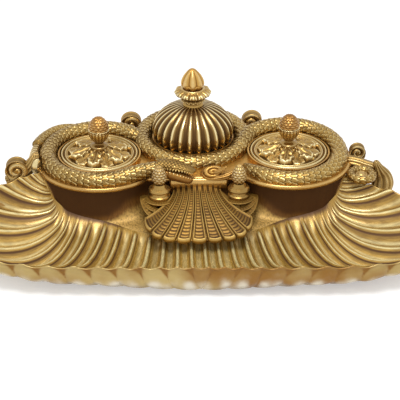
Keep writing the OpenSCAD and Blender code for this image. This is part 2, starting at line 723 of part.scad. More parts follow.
// Posts: a pedestal fixed to the housing, a turned post and a pinecone
pedestal_h = 4.5;
pedestal_w = 4.4;
function post_at(side) = [front_shift + side * post_x, well_y - post_reach];
module pedestal(side) {
    color(BRONZE) translate(at(post_at(side), post_seat_z - pedestal_h)) union() {
        cylinder(h = pedestal_h, r = post_r - 0.4);
        translate([-pedestal_w / 2, 0, 0])
            cube([pedestal_w, post_reach - front_wall_reach - 0.1, pedestal_h]);
    }
}
module pedestal_left() { pedestal(-1); }
module pedestal_right() { pedestal(1); }
POST = [
    [0, 0], [1, 0], [1, 0.12], [0.86, 0.2], [0.8, 0.36], [0.95, 0.44], [1, 0.54], [0.92, 0.66],
    [0.7, 0.74], [0.62, 0.86], [0.5, 1], [0, 1]
];
module turned(profile, r, h) {
    rotate_extrude() polygon([for (q = profile) [q[0] * r, q[1] * h]]);
}
module post(side) {
    color(BRONZE) translate(at(post_at(side), post_seat_z)) turned(POST, post_r, post_h);
}
module post_left() { post(-1); }
module post_right() { post(1); }
CONE = [
    [0, 0], [0.5, 0], [0.82, 0.1], [0.97, 0.24], [1, 0.38], [0.92, 0.55], [0.75, 0.72],
    [0.52, 0.87], [0.25, 0.97], [0, 1]
];
module pinecone(side) {
    color(PALE_BRONZE) translate(at(post_at(side), post_seat_z + post_h)) turned(CONE, cone_r, cone_h);
}
module pinecone_left() { pinecone(-1); }
module pinecone_right() { pinecone(1); }

// Lids: a relief disc or the dome, a plug in the pot's mouth, and a finial on a stud
stud_r = 2;
lid_top = flange_top + lid_t;
RELIEF = [[0, 0], [0.97, 0], [0.97, 0.08], [0.84, 0.36], [0.66, 0.62], [0.45, 0.84], [0.24, 1], [0, 1]];
module flat_lid(c) {
    color(BRONZE) translate([c[0], c[1], flange_top]) difference() {
        union() {
            cylinder(h = lid_t, r = lid_r);
            translate([0, 0, lid_t]) turned(RELIEF, lid_r, relief_h);
        }
        translate([0, 0, -1]) cylinder(h = lid_t + relief_h + 2, r = stud_r + 0.05);
    }
}
module lid_left() { flat_lid(left_well); }
module lid_right() { flat_lid(right_well); }
module plug(c) {
    color(PALE_BRONZE) translate([c[0], c[1], flange_top - plug_h]) difference() {
        cylinder(h = plug_h, r = pot_mouth_r - plug_gap);
        translate([0, 0, -1]) cylinder(h = plug_h + 2, r = pot_mouth_r - plug_gap - plug_t);
    }
}
module plug_left() { plug(left_well); }
module plug_centre() { plug(centre_well); }
module plug_right() { plug(right_well); }
pod_base = lid_top + relief_h;
calyx_share = 0.6;
CALYX = [
    [0, 0], [0.78, 0], [0.84, 0.06], [0.8, 0.14], [0.5, 0.2], [0.4, 0.26], [0.5, 0.34], [0.8, 0.52],
    [1, 0.76], [0.98, 1], [0, 1]
];
POD = [[0, 0], [0.93, 0], [0.96, 0.2], [0.9, 0.45], [0.74, 0.68], [0.5, 0.87], [0.22, 0.97], [0, 1]];
module calyx(c) {
    color(BRONZE) translate([c[0], c[1], pod_base]) union() {
        turned(CALYX, pod_r, pod_h * calyx_share);
        translate([0, 0, flange_top - pod_base - nut_bite])
            cylinder(h = pod_base - flange_top + nut_bite + 1, r = stud_r);
    }
}
module calyx_left() { calyx(left_well); }
module calyx_right() { calyx(right_well); }
module seed_pod(c) {
    color(PALE_BRONZE) translate([c[0], c[1], pod_base + pod_h * calyx_share])
        turned(POD, pod_r, pod_h * (1 - calyx_share));
}
module seed_pod_left() { seed_pod(left_well); }
module seed_pod_right() { seed_pod(right_well); }
nut_h = 3;
// How far a stud reaches into its nut
nut_bite = 1.5;
module nut(c, z) {
    color("silver") translate([c[0], c[1], z - nut_h]) difference() {
        cylinder(h = nut_h, r = 2.2 * stud_r, $fn = 6);
        translate([0, 0, nut_h - nut_bite]) cylinder(h = nut_h, r = stud_r + 0.05);
    }
}
module nut_left() { nut(left_well, flange_top); }
module nut_right() { nut(right_well, flange_top); }
dome_top = flange_top + skirt_h + dome_h;
skirt_r = lid_r + 0.2;
// A flat seat on top of the dome for the leafy cup
seat_share = 0.25;
seat_angle = acos(seat_share);
seat_z = dome_top - dome_h * (1 - sin(seat_angle));
arc_cuts = 14;
function dome_arc(r, h) = [
    for (i = [0 : arc_cuts]) let (a = seat_angle * i / arc_cuts) [r * cos(a), skirt_h + h * sin(a)]
];
function reversed(p) = [for (i = [len(p) - 1 : -1 : 0]) p[i]];
module dome_lid() {
    inner_r = skirt_r - dome_t;
    inner = dome_arc(inner_r, dome_h - dome_t);
    color(BRONZE) translate([centre_well[0], centre_well[1], flange_top]) difference() {
        rotate_extrude() polygon(concat(
            [[skirt_r, 0], [skirt_r, skirt_h - 1.2]], dome_arc(dome_r, dome_h),
            [[0, seat_z - flange_top], [0, inner[arc_cuts][1]]], reversed(inner), [[inner_r, 0]]
        ));
        cylinder(h = 2 * dome_r, r = stud_r + 0.05);
    }
}
dome_ceiling = flange_top + dome_arc(skirt_r - dome_t, dome_h - dome_t)[arc_cuts][1];
module nut_centre() { nut(centre_well, dome_ceiling); }
LEAVES = [
    [0, 0], [0.52, 0], [0.56, 0.12], [0.44, 0.26], [0.5, 0.46], [1, 0.66], [1, 0.86], [0.7, 1], [0, 1]
];
module leafy_cup() {
    stud = seat_z - dome_ceiling + nut_bite;
    color(PALE_BRONZE) translate([centre_well[0], centre_well[1], seat_z]) union() {
        turned(LEAVES, cup_leaf_r, cup_leaf_h);
        translate([0, 0, -stud]) cylinder(h = stud + 1, r = stud_r);
    }
}
BUD = [
    [0, 0], [0.72, 0], [0.92, 0.14], [1, 0.32], [0.95, 0.5], [0.8, 0.68], [0.55, 0.85], [0.22, 0.97], [0, 1]
];
module bud() {
    color(PALE_BRONZE) translate([centre_well[0], centre_well[1], seat_z + cup_leaf_h])
        turned(BUD, bud_r, bud_h);
}

shell_tray();
wall_front();
wall_right();
wall_back();
wall_left();
deck_plate();
front_moulding();
base_plate();
felt_pad();
base_screws();
tie_pillars();
sleeve_left();
sleeve_centre();
sleeve_right();
collar_left();
collar_centre();
collar_right();
serpent_left();
serpent_centre();
serpent_right();
back_scroll_left();
back_scroll_right();
end_scroll_left();
end_scroll_right();
ear_scroll_right();
leaf_band_left();
tail_loop_right();
curled_leaf();
front_shell();
pedestal_left();
pedestal_right();
post_left();
post_right();
pinecone_left();
pinecone_right();
pot_left();
pot_centre();
pot_right();
lid_left();
lid_right();
plug_left();
plug_centre();
plug_right();
calyx_left();
calyx_right();
seed_pod_left();
seed_pod_right();
nut_left();
nut_centre();
nut_right();
dome_lid();
leafy_cup();
bud();
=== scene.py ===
import json
from functools import partial

import bpy
import numpy as np
from numpy import clip, concatenate, cos, linspace, maximum, minimum, pi, radians, sin, stack, where
from mathutils import Matrix, Vector


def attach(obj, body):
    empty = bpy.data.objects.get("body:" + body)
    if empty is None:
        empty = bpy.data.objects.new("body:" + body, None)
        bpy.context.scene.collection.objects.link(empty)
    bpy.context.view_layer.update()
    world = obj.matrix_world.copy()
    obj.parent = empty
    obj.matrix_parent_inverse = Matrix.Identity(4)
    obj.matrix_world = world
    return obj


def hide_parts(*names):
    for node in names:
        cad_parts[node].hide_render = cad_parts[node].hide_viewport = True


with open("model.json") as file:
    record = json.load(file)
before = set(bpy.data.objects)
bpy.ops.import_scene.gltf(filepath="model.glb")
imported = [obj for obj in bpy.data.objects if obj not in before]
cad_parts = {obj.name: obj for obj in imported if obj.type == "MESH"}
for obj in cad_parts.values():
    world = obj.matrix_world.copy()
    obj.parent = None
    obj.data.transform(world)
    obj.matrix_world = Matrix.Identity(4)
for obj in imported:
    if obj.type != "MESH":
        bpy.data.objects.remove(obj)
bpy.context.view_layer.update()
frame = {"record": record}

MM = 0.001
TURN = 2 * pi

# ---- sizes of the inkstand, mm
WELL_X, WELL_Y, SETBACK = 80.4, 32.6, 29.0
LEFT, CENTRE, RIGHT = (-WELL_X, WELL_Y), (0.0, WELL_Y + SETBACK), (WELL_X, WELL_Y)
SIDES = (("left", -1, LEFT), ("right", 1, RIGHT))
FRONT_Y = WELL_Y - 33.5
DECK_Z, WALL_TOP, BASE_Z = 47.0, 44.0, 4.0
WALL_R, START_R, LEDGE_R = 51.6, 53.6, 52.8
TRAY_HALF_W, TRAY_REACH, TRAY_SLANT, TRAY_T = 189.5, 143.5, 0.03, 4.2
RIM_Z, START_Z, START_TOP, APRON = 27.0, 14.0, 43.0, 78.0
FLUTES = 33
HALF = FLUTES / 2
LOBE_W = 20.0
COIL_R, TUBE_R, COIL_Z = 43.6, 7.2, 50.8
FLANGE_TOP, LID_T, LID_R = 49.8, 2.6, 33.2
LID_TOP = FLANGE_TOP + LID_T
SHIFT = 2.5
FLOOR_SAG, RIGHT_DROP = 5, 8
POST_X, POST_Y = 33, WELL_Y - 44.5


# ---- curves
def mix(a, b, t):
    return a + (b - a) * t


def clamp(x):
    return clip(x, 0, 1)


def ramp(a, b, x):
    """0 up to a, 1 from b on, and smooth between."""
    t = clamp((x - a) / (b - a))
    return t * t * (3 - 2 * t)


def bell(x, middle, width):
    return np.exp(-(((x - middle) / width) ** 2))


def beading(x):
    return 0.5 - 0.5 * cos(TURN * x)


def about(c, r, a):
    """The point at radius r and angle a (radians) about c."""
    return c[0] + r * cos(a), c[1] + r * sin(a)


def unit(vectors):
    return vectors / np.linalg.norm(vectors, axis=-1, keepdims=True)


def off_whole(x):
    """How far x is from the nearest whole number."""
    return x - np.rint(x)


def polar(c, r, degrees):
    return about(c, r, radians(degrees))


def along_rows(rows, s):
    """Smooth curve through rows whose first number is the parameter."""
    rows = np.asarray(rows, float)
    k = rows[:, 0]
    slope = np.empty_like(rows)
    slope[1:-1] = (rows[2:] - rows[:-2]) / (k[2:] - k[:-2])[:, None]
    slope[0] = (rows[1] - rows[0]) / (k[1] - k[0])
    slope[-1] = (rows[-1] - rows[-2]) / (k[-1] - k[-2])
    s = clip(np.asarray(s, float), k[0], k[-1])
    i = clip(np.searchsorted(k, s, side="right") - 1, 0, len(k) - 2)
    h = k[i + 1] - k[i]
    t = ((s - k[i]) / h)[..., None]
    h = h[..., None]
    return (
        (2 * t**3 - 3 * t**2 + 1) * rows[i] + (t**3 - 2 * t**2 + t) * h * slope[i]
        + (3 * t**2 - 2 * t**3) * rows[i + 1] + (t**3 - t**2) * h * slope[i + 1]
    )


def heading(rows, s, step):
    """The way a curve through rows of (parameter, x, y, z, ...) runs."""
    return (along_rows(rows, s + step) - along_rows(rows, s - step))[..., 1:4]


# ---- making pieces
MERGE = 0.002
# The first mask browns (+) or pales (-): patina in hollows and wear on high places, and on the tray, its
# lip, the wall and the scales also painted shade and painted highlights.
MASKS = ("hollow", "outer")


def points_of(mesh, what="co"):
    flat = np.empty(len(mesh.vertices) * 3)
    mesh.vertices.foreach_get(what, flat)
    return flat.reshape(-1, 3)


def write_mask(piece, name, values):
    layer = piece.data.attributes.new(name, "FLOAT", "POINT")
    layer.data.foreach_set("value", np.asarray(values, np.float32))


def tidy_active_mesh(close_ends):
    bpy.ops.object.mode_set(mode="EDIT")
    bpy.ops.mesh.select_all(action="SELECT")
    bpy.ops.mesh.remove_doubles(threshold=MERGE * MM)
    if close_ends:
        bpy.ops.mesh.fill_holes(sides=0)
        bpy.ops.mesh.select_all(action="SELECT")
    bpy.ops.mesh.normals_make_consistent()
    bpy.ops.object.mode_set(mode="OBJECT")
    bpy.ops.object.shade_smooth()


def worked_sheet(name, across, along, shape, close_ends):
    """A grid moved onto shape(u, v): x, y, z in millimetres, then a value for each of MASKS."""
    bpy.ops.mesh.primitive_grid_add(x_subdivisions=across, y_subdivisions=along, size=1)
    piece = bpy.context.object
    piece.name = piece.data.name = name
    co = points_of(piece.data)
    x, y, z, *masks = shape(co[:, 0] + 0.5, co[:, 1] + 0.5)
    xyz = stack([np.broadcast_to(q, len(co)) for q in (x, y, z)], 1) * MM
    piece.data.vertices.foreach_set("co", xyz.astype(np.float32).ravel())
    for mask, values in zip(MASKS, masks):
        write_mask(piece, mask, np.broadcast_to(values, len(co)))
    piece.data.update()
    tidy_active_mesh(close_ends)
    return piece


def smoothed(co, pairs, rounds):
    """Points drawn towards the mean of their neighbours, time after time."""
    n = len(co)
    a, b = pairs[:, 0], pairs[:, 1]
    count = maximum(np.bincount(a, minlength=n) + np.bincount(b, minlength=n), 1)
    p = co.copy()
    for _ in range(rounds):
        sums = [np.bincount(a, p[b, k], n) + np.bincount(b, p[a, k], n) for k in range(3)]
        p = (p + stack(sums, 1) / count[:, None]) / 2
    return p


def mark_hollows(piece, depth, rounds):
    """Keeps how far each point lies below (+) or above (-) its smoothed surroundings."""
    mesh = piece.data
    pairs = np.empty(len(mesh.edges) * 2, np.int32)
    mesh.edges.foreach_get("vertices", pairs)
    co = points_of(mesh)
    low = ((smoothed(co, pairs.reshape(-1, 2), rounds) - co) * points_of(mesh, "normal")).sum(1)
    write_mask(piece, "hollow", clip(low / (depth * MM), -1, 1))


def finish_piece(piece, material, replaces="", slot="gilt_bronze", body="stand", hollow=None):
    if hollow:
        mark_hollows(piece, *hollow)
    piece.data.materials.append(material)
    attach(piece, body)
    replaces = replaces.split()
    if replaces:
        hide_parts(*replaces)
    return piece


def make_piece(name, across, along, shape, *finish, close_ends=True, **more):
    return finish_piece(worked_sheet(name, across, along, shape, close_ends), *finish, **more)


# ---- finishes
def feed(sockets, values):
    """Links an output to each named socket, or sets the socket's own value."""
    for label, value in values.items():
        socket = sockets[label]
        if hasattr(value, "is_linked"):
            socket.id_data.links.new(value, socket)
        else:
            socket.default_value = value


def math_node(tree, kind, a, b, clamp=False):
    n = tree.nodes.new("ShaderNodeMath")
    n.operation = kind
    n.use_clamp = clamp
    feed(n.inputs, {0: a, 1: b})
    return n.outputs[0]


def times(tree, a, b, clamp=False):
    return math_node(tree, "MULTIPLY", a, b, clamp)


def plus(tree, a, b):
    return math_node(tree, "ADD", a, b)


def noise(tree, place, scale, detail=3.0, rough=0.55):
    n = tree.nodes.new("ShaderNodeTexNoise")
    feed(n.inputs, {"Vector": place, "Scale": scale, "Detail": detail, "Roughness": rough})
    return n.outputs["Fac"]


def blend_colour(tree, fac, a, b):
    n = tree.nodes.new("ShaderNodeMix")
    n.data_type = "RGBA"
    feed(n.inputs, {0: fac, 6: a, 7: b})
    return n.outputs[2]


def spread(tree, value, low, high, to_low=0.0, to_high=1.0):
    n = tree.nodes.new("ShaderNodeMapRange")
    n.interpolation_type = "SMOOTHSTEP"
    ends = {"From Min": low, "From Max": high, "To Min": to_low, "To Max": to_high}
    feed(n.inputs, {"Value": value, **ends})
    return n.outputs["Result"]


def bumped(tree, height, strength, distance):
    n = tree.nodes.new("ShaderNodeBump")
    feed(n.inputs, {"Height": height, "Strength": strength, "Distance": distance})
    return n.outputs["Normal"]


def new_material(name, settings):
    m = bpy.data.materials.new(name)
    m.use_nodes = True
    shader = m.node_tree.nodes["Principled BSDF"].inputs
    feed(shader, settings)
    return m, m.node_tree, shader


def srgb(*rgb):
    c = np.array(rgb) / 255
    return (*where(c <= 0.04045, c / 12.92, ((c + 0.055) / 1.055) ** 2.4), 1.0)


def make_patina():
    """Gilding worn pale on the high places and browned in the low ones; where a mask paints shade or
    highlights, these browns and pales are painted shade and painted highlights.
    """
    tree = bpy.data.node_groups.new("gilding_and_patina", "ShaderNodeTree")
    for way, kind, labels in (
        ("INPUT", "Vector", ("Place",)), ("INPUT", "Color", ("Gold", "Brown", "Worn and highlight")),
        ("INPUT", "Float", ("Wear and highlight", "Mottle", "Base roughness", "Streaks")),
        ("OUTPUT", "Color", ("Colour",)), ("OUTPUT", "Float", ("Roughness", "Height")),
    ):
        for label in labels:
            tree.interface.new_socket(label, in_out=way, socket_type="NodeSocket" + kind)
    i, o = tree.nodes.new("NodeGroupInput").outputs, tree.nodes.new("NodeGroupOutput").inputs
    attribute = tree.nodes.new("ShaderNodeAttribute")
    attribute.attribute_name = "hollow"
    cloud = noise(tree, i["Place"], 90, 4.0, 0.6)
    fine = noise(tree, i["Place"], 700, 3.0, 0.6)
    drift = noise(tree, i["Place"], 22, 2.0, 0.5)
    uneven = plus(tree, attribute.outputs["Fac"], times(tree, plus(tree, cloud, -0.5), 0.5))
    low = spread(tree, uneven, -0.05, 0.75)
    high = times(tree, spread(tree, times(tree, uneven, -1.0), 0.1, 0.8), i["Wear and highlight"], clamp=True)
    mottle = times(tree, spread(tree, drift, 0.35, 0.68), i["Mottle"])
    colour = blend_colour(tree, mottle, i["Gold"], i["Brown"])
    colour = blend_colour(tree, low, colour, i["Brown"])
    colour = blend_colour(tree, high, colour, i["Worn and highlight"])
    streaks = times(tree, spread(tree, fine, 0.62, 0.3), i["Streaks"], clamp=True)
    rough = plus(tree, i["Base roughness"], times(tree, low, 0.22))
    feed(o, {
        "Colour": blend_colour(tree, streaks, colour, i["Brown"]),
        "Roughness": plus(tree, rough, times(tree, plus(tree, fine, -0.5), 0.16)),
        "Height": plus(tree, fine, times(tree, cloud, 1.5)),
    })
    return tree


PATINA = make_patina()


def gilding(
    name, gold, brown, wear_and_highlight, wear_and_highlight_amount=1.0, mottle=0.4, rough=0.28, bump=0.25, streaks=0.0, stretch=None,
    metallic=0.88, coat=0.0, follow="Object"
):
    m, tree, shader = new_material(name, {"Metallic": metallic, "Coat Weight": coat, "Coat Roughness": 0.2})
    place = tree.nodes.new("ShaderNodeTexCoord").outputs[follow]
    if stretch:
        mapping = tree.nodes.new("ShaderNodeMapping")
        feed(mapping.inputs, {"Scale": stretch, "Vector": place})
        place = mapping.outputs["Vector"]
    node = tree.nodes.new("ShaderNodeGroup")
    node.node_tree = PATINA
    feed(node.inputs, {
        "Place": place, "Gold": srgb(*gold), "Brown": srgb(*brown), "Worn and highlight": srgb(*wear_and_highlight), "Wear and highlight": wear_and_highlight_amount,
        "Mottle": mottle, "Base roughness": rough, "Streaks": streaks,
    })
    feed(shader, {
        "Base Color": node.outputs["Colour"], "Roughness": node.outputs["Roughness"],
        "Normal": bumped(tree, node.outputs["Height"], bump, 0.0002),
    })
    return m


GILT = gilding("gilt_bronze", (188, 152, 86), (84, 58, 22), (240, 222, 168))
# The tray's pale colour is near white for the painted highlights on its fillets and channels.
FLUTED = gilding(
    "fluted_gilding", (210, 168, 80), (90, 56, 16), (255, 238, 174), rough=0.26, mottle=0.35,
    stretch=(0.62, 0.02, 1), follow="UV", metallic=0.3, streaks=0.4, bump=0.4,
)
# The rim's brown goes on the painted shade in the tucks between the lobes; its pale colour goes on patches
# towards the lip's foot.
RIM_GILT = gilding(
    "mottled_rim_gilding", (188, 162, 100), (146, 100, 26), (222, 212, 190), rough=0.36, mottle=1.0,
    metallic=0.6, coat=0.3,
)
SCALY = gilding("scaly_gilding", (174, 140, 76), (80, 54, 20), (232, 210, 148), rough=0.3, wear_and_highlight_amount=0.7)
# The wall's gold and brown are darkened as painted shade under the ledge; its pale colour is the tray's
# gold, shown towards the foot.
DARK_WALL = gilding(
    "burnished_wall_with_painted_shade", (136, 92, 36), (80, 47, 8), (206, 166, 88), rough=0.5,
    stretch=(1, 1, 0.08), metallic=0.35, streaks=0.6,
)
SHELL_GOLD = gilding(
    "shell_gilding", (160, 120, 46), (64, 38, 8), (206, 172, 98), rough=0.42, wear_and_highlight_amount=0.8, metallic=0.6
)
RED_GOLD = gilding(
    "red_gold", (206, 160, 80), (116, 68, 22), (242, 214, 150), mottle=0.5, rough=0.3, metallic=0.75
)
POD_GOLD = gilding("pod_gilding", (176, 128, 64), (96, 60, 24), (236, 206, 144), rough=0.26)
PALE = gilding("pale_gilt", (200, 170, 108), (132, 92, 44), (244, 230, 198), rough=0.34)
DOME = gilding("dome_gilding", (166, 132, 74), (94, 66, 32), (242, 222, 166), rough=0.2)
LEDGE = gilding("ledge_gilding", (210, 172, 104), (140, 96, 42), (248, 230, 188), rough=0.24)
PLAIN = gilding("plain_brass", (190, 156, 94), (112, 82, 40), (232, 212, 160), rough=0.35)
STEEL = gilding("brushed_steel", (168, 168, 166), (96, 94, 90), (214, 214, 212), mottle=0.3, rough=0.32)


def make_glass():
    m, tree, shader = new_material("pot_glass", {"Transmission Weight": 0.9, "IOR": 1.5})
    place = tree.nodes.new("ShaderNodeTexCoord").outputs["Object"]
    tint = blend_colour(tree, noise(tree, place, 60), (0.8, 0.88, 0.86, 1), (0.9, 0.95, 0.93, 1))
    rough = spread(tree, noise(tree, place, 300), 0.3, 0.7, 0.03, 0.12)
    feed(shader, {"Base Color": tint, "Roughness": rough})
    return m


def make_baize():
    m, tree, shader = new_material("green_baize", {"Sheen Weight": 0.4, "Roughness": 0.95})
    nap = noise(tree, tree.nodes.new("ShaderNodeTexCoord").outputs["Object"], 900, 4.0, 0.7)
    tint = blend_colour(tree, nap, srgb(34, 58, 36), srgb(66, 92, 58))
    feed(shader, {"Base Color": tint, "Normal": bumped(tree, nap, 1.0, 0.0004)})
    return m


GLASS = make_glass()
BAIZE = make_baize()


# ---- tray
# a row of RIM is (flutes from the middle, x, y and z at the rim), as shares of the tray's measures
RIM = [(s, x * TRAY_HALF_W, WELL_Y - TRAY_REACH * y, mix(RIM_Z, DECK_Z, z)) for s, x, y, z in (
    (0, 0, 1, 0), (1.5, 0.097, 1, 0), (3.5, 0.248, 1, 0), (5.5, 0.422, 0.997, 0),
    (7.5, 0.628, 0.987, 0), (8.5, 0.734, 0.97, 0), (9.5, 0.86, 0.913, 0.02),
    (10.5, 0.955, 0.785, 0.1), (11.5, 1, 0.59, 0.25), (12.5, 0.971, 0.396, 0.45),
    (13.5, 0.86, 0.262, 0.65), (14.5, 0.776, 0.201, 0.8), (15.5, 0.723, 0.174, 0.9),
    (16.5, 0.678, 0.161, 1),
)]
# a row of START and WALL is (flutes from the middle, place), or the angle about the right well
START = [(0, 0, WELL_Y - APRON, START_Z), (2.5, 27, WELL_Y - APRON + 2, START_Z)]
START += [(s, *polar(RIGHT, START_R + out, -a), mix(START_Z, START_TOP, z)) for s, a, out, z in (
    (4.5, 114.4, 19.4, 0), (5.5, 106, 9, 0), (6.5, 95.5, 2.3, 0), (7.5, 82, 0, 0), (8.5, 70, 0, 0),
    (9.5, 63, 0, 0.02), (10.5, 58, 0, 0.07), (11.5, 53.5, 0, 0.17), (12.5, 49.5, 0, 0.31),
    (13.5, 45.5, 0, 0.48), (14.5, 41.5, 0, 0.68), (15.5, 36.5, 0, 0.86), (16.5, 31, 0, 1),
)]
WALL = [(0, 0, FRONT_Y), (1.5, 18.5, FRONT_Y), (3, 37, FRONT_Y)]
WALL += [(s, *polar(RIGHT, WALL_R, -a)) for s, a in (
    (3.75, 136.5), (4.5, 123.5), (5.5, 109.5), (6.5, 97), (7.5, 84), (8.5, 71.5), (9.5, 62),
    (10.5, 56), (11.5, 51.5), (12.5, 47.5), (13.5, 44), (14.5, 40), (15.5, 35.5), (16.5, 31),
)]


def both_sides(rows, s):
    """Rows for the right half, mirrored for the left: s counts flutes from the middle."""
    q = along_rows(rows, abs(s))[..., 1:]
    q[..., 0] *= where(s < 0, -1, 1)
    return q


def rim(s):
    q = both_sides(RIM, s)
    q[..., 1] -= TRAY_SLANT * where(s < 0, mix(1, 0.26, ramp(13.5, 16.5, -s)), 1) * q[..., 0]
    q[..., 2] -= where(s > 0, RIGHT_DROP * ramp(11.5, 15.5, s), 0)
    return q


def rim_outward(s):
    d = rim(s + 0.05) - rim(s - 0.05)
    return unit(stack([d[..., 1], -d[..., 0]], -1))


def flute_length(s):
    x, y, _ = (both_sides(START, s) - rim(s)).T
    return np.hypot(x, y)


def bend(a, b, c, v):
    return (1 - v) ** 2 * a + 2 * v * (1 - v) * b + v**2 * c


def flute_line(s, v):
    """Where a flute runs in plan: v goes from its start at the wall (0) to the rim (1)."""
    (fx, fy, _), (rx, ry, _), b = both_sides(START, s).T, rim(s).T, ramp(4, 10, abs(s))
    x = bend(fx, fx + mix(0.5, 0.28, b) * (rx - fx), rx, v)
    return x, bend(fy, ry + mix(0.5, 0.23, b) * (fy - ry), ry, v)


def flute_floor(s, v):
    low, high = both_sides(START, s)[..., 2], rim(s)[..., 2]
    sag = FLOOR_SAG * minimum(1, flute_length(s) / 60)
    return low + (high - low) * v**3 - sag * 4 * v * (1 - v)


def flute_width(s, v):
    xa, ya = flute_line(s - 0.25, v)
    xb, yb = flute_line(s + 0.25, v)
    return 2 * np.hypot(xb - xa, yb - ya)


COVE_RISE, COVE_RUN, COVE_REACH = 7.0, 13.0, 0.67


def cove_share(s, v):
    """1 where a flute's upper end has swept up into the wall, falling to 0 in the bowl."""
    away = v * flute_length(s) / COVE_RUN
    side = ramp(4.2, 9.5, abs(s)) * (1 - ramp(11, 15, abs(s)))
    return (1 - clamp(away)) ** 2.2 * side


GROOVE_AT = 0.16


def flute_section(s, v, d):
    """Height of a concave channel between raised fillets; d is the distance from a fillet."""
    width = flute_width(s, v)
    at_rim = 1 - 0.55 * ramp(0.9, 1, v)
    deep = minimum(3.4, 0.19 * width) * ramp(0, 0.16, v) * at_rim
    channel = sin(pi * clip((d - 0.17) / 0.66, 0, 0.5)) ** 0.8
    fine = ramp(0.0, 0.1, v) * at_rim
    groove = bell(d, GROOVE_AT, 0.026) * minimum(1.1, 0.085 * width) * fine
    crest = cos(pi * clip(d / 0.3, 0, 0.5)) ** 0.7 * minimum(1.3, 0.1 * width) * fine
    return crest - groove - deep * channel


def flute_hollow(s, v, d):
    """Patina and painted shade brown the grooves, painted shade browns their flanks and the flutes' upper
    ends, painted highlights pale the fillets and each channel's middle, and the middle flutes are painted
    paler all over.
    """
    side = ramp(2.5, 6.5, abs(s))
    # painted highlights on the fillets and along the channels, and painted light over the middle flutes
    wear_and_highlight = 0.5 * bell(d, 0.5, 0.13) * side + mix(0.4, 0.8, side) * bell(d, 0, 0.07) + 0.4 * (1 - side)
    hollow = 1.1 * bell(d, GROOVE_AT, 0.03) + 0.4 * bell(d, 0.25, 0.06) - wear_and_highlight
    shaded = 0.8 * ramp(0.035, 0, v) * ramp(4.5, 6, abs(s)) * ramp(12, 10, abs(s))
    return hollow * ramp(0, 0.08, v) + shaded


def tray_surface(s, v):
    d = abs(off_whole(s + HALF))
    cove = cove_share(s, v)
    x, y = flute_line(s, v)
    (wx, wy), (fx, fy, _) = both_sides(WALL, s).T, both_sides(START, s).T
    x = x + COVE_REACH * cove * (wx - fx)
    y = y + COVE_REACH * cove * (wy - fy)
    z = flute_floor(s, v) + COVE_RISE * cove + flute_section(s, v, d)
    return x, y, z, flute_hollow(s, v, d)


RIM_STEPS = linspace(-HALF, HALF, 3301)
RIM_ARC = concatenate([[0], np.cumsum(np.hypot(*np.diff(rim(RIM_STEPS)[:, :2], axis=0).T))])
RIM_ARC -= RIM_ARC[-1] / 2


def tray_lip(s, w):
    """The lobed lip: w goes from the rim's edge (0) down to its foot (1), tucked in beneath."""
    (rx, ry, rz), (nx, ny) = rim(s).T, rim_outward(s).T
    drop = mix(22.5, 10, ramp(6.5, 12.5, abs(s)))
    tuck = minimum(mix(1.5, 9, ramp(0, 8, abs(s))), 0.1 * flute_length(s))
    arc = np.interp(s, RIM_STEPS, RIM_ARC)
    lobe = abs(cos(pi * (abs(arc) + 0.4 * w * drop) / LOBE_W)) ** 0.7
    swell = 2.6 * lobe * (1 - ramp(12.5, 14, abs(s))) * sin(pi * clamp(w * 1.06)) ** 0.6
    edge = 0.9 * sin(pi * clamp(w / 0.14))
    reach = swell * ramp(0.06, 0.3, w) + edge - tuck * ramp(0.45, 1, w) ** 1.6
    foot = rz - drop + (1 - lobe) * 1.6 * ramp(0.5, 1, w)
    z = mix(tray_surface(s, 1.0)[2], foot, ramp(0, 1, w) * 0.4 + 0.6 * w)
    # painted shade browns the tucks between the lobes near the top and the lobes' flanks; the lip is paler
    # in patches towards its foot
    patchy = 0.5 + 0.5 * sin(arc / 8.7) * sin(arc / 3.1 + 1)
    between = ramp(1.2, 0.3, lobe + 1.9 * w) * ramp(0.02, 0.06, w)
    hollow = 1.1 * between + 0.3 * (0.5 - lobe) * ramp(0.1, 0.25, w) - 0.75 * ramp(0.35, 0.7, w) * patchy
    return rx + nx * reach, ry + ny * reach, z, hollow


def tray_underside(s, b):
    """Back under the floor: b falls from 1 at the lip's foot to 0 at the wall."""
    x, y = flute_line(s, b * 0.9)
    z = flute_floor(s, b * 0.9) - TRAY_T
    foot = tray_lip(s, 1.0)
    return *(mix(p, q, ramp(0.75, 1, b)) for p, q in zip((x, y, z), foot)), 0.0


TOP, LIP, UNDER = 0.58, 0.3, 0.12


def tray_shape(u, v):
    """The top from the wall out to the rim, then the lip, then back underneath."""
    flute = clip(u * FLUTES, 0, FLUTES)
    whole = minimum(np.floor(flute), FLUTES - 1)
    t = flute - whole
    s = whole + (t - 0.4 * sin(TURN * t) / TURN) - HALF
    top = tray_surface(s, clamp(v / TOP))
    lip = tray_lip(s, clamp((v - TOP) / LIP))
    under = tray_underside(s, 1 - clamp((v - TOP - LIP) / UNDER))
    on_top, beneath = v <= TOP, v > TOP + LIP
    made = [where(on_top, a, where(beneath, c, b)) for a, b, c in zip(top, lip, under)]
    return *made, where(on_top, 0.0, 1.0)


tray = make_piece("fluted_tray", FLUTES * 24, 110, tray_shape, FLUTED, "shell_tray", close_ends=False)
tray.data.materials.append(RIM_GILT)
outer = tray.data.attributes["outer"].data
for face in tray.data.polygons:
    if all(outer[i].value > 0.5 for i in face.vertices):
        face.material_index = 1

# ---- housing wall and ledge
LEAN = np.degrees(np.arctan2(SETBACK, WELL_X))
WELL_GAP = np.hypot(WELL_X, SETBACK)


def valley(r):
    return np.degrees(np.arccos(WELL_GAP / 2 / r))


def arc_stations(c, wall_from, wall_to, foot_from, foot_to, count):
    t = np.arange(1, count + 1) / count
    wall = stack(polar(c, WALL_R, mix(wall_from, wall_to, t)), 1)
    foot = stack(polar(c, START_R, mix(foot_from, foot_to, t)), 1)
    return np.column_stack([wall, foot, np.full(count, START_Z)])


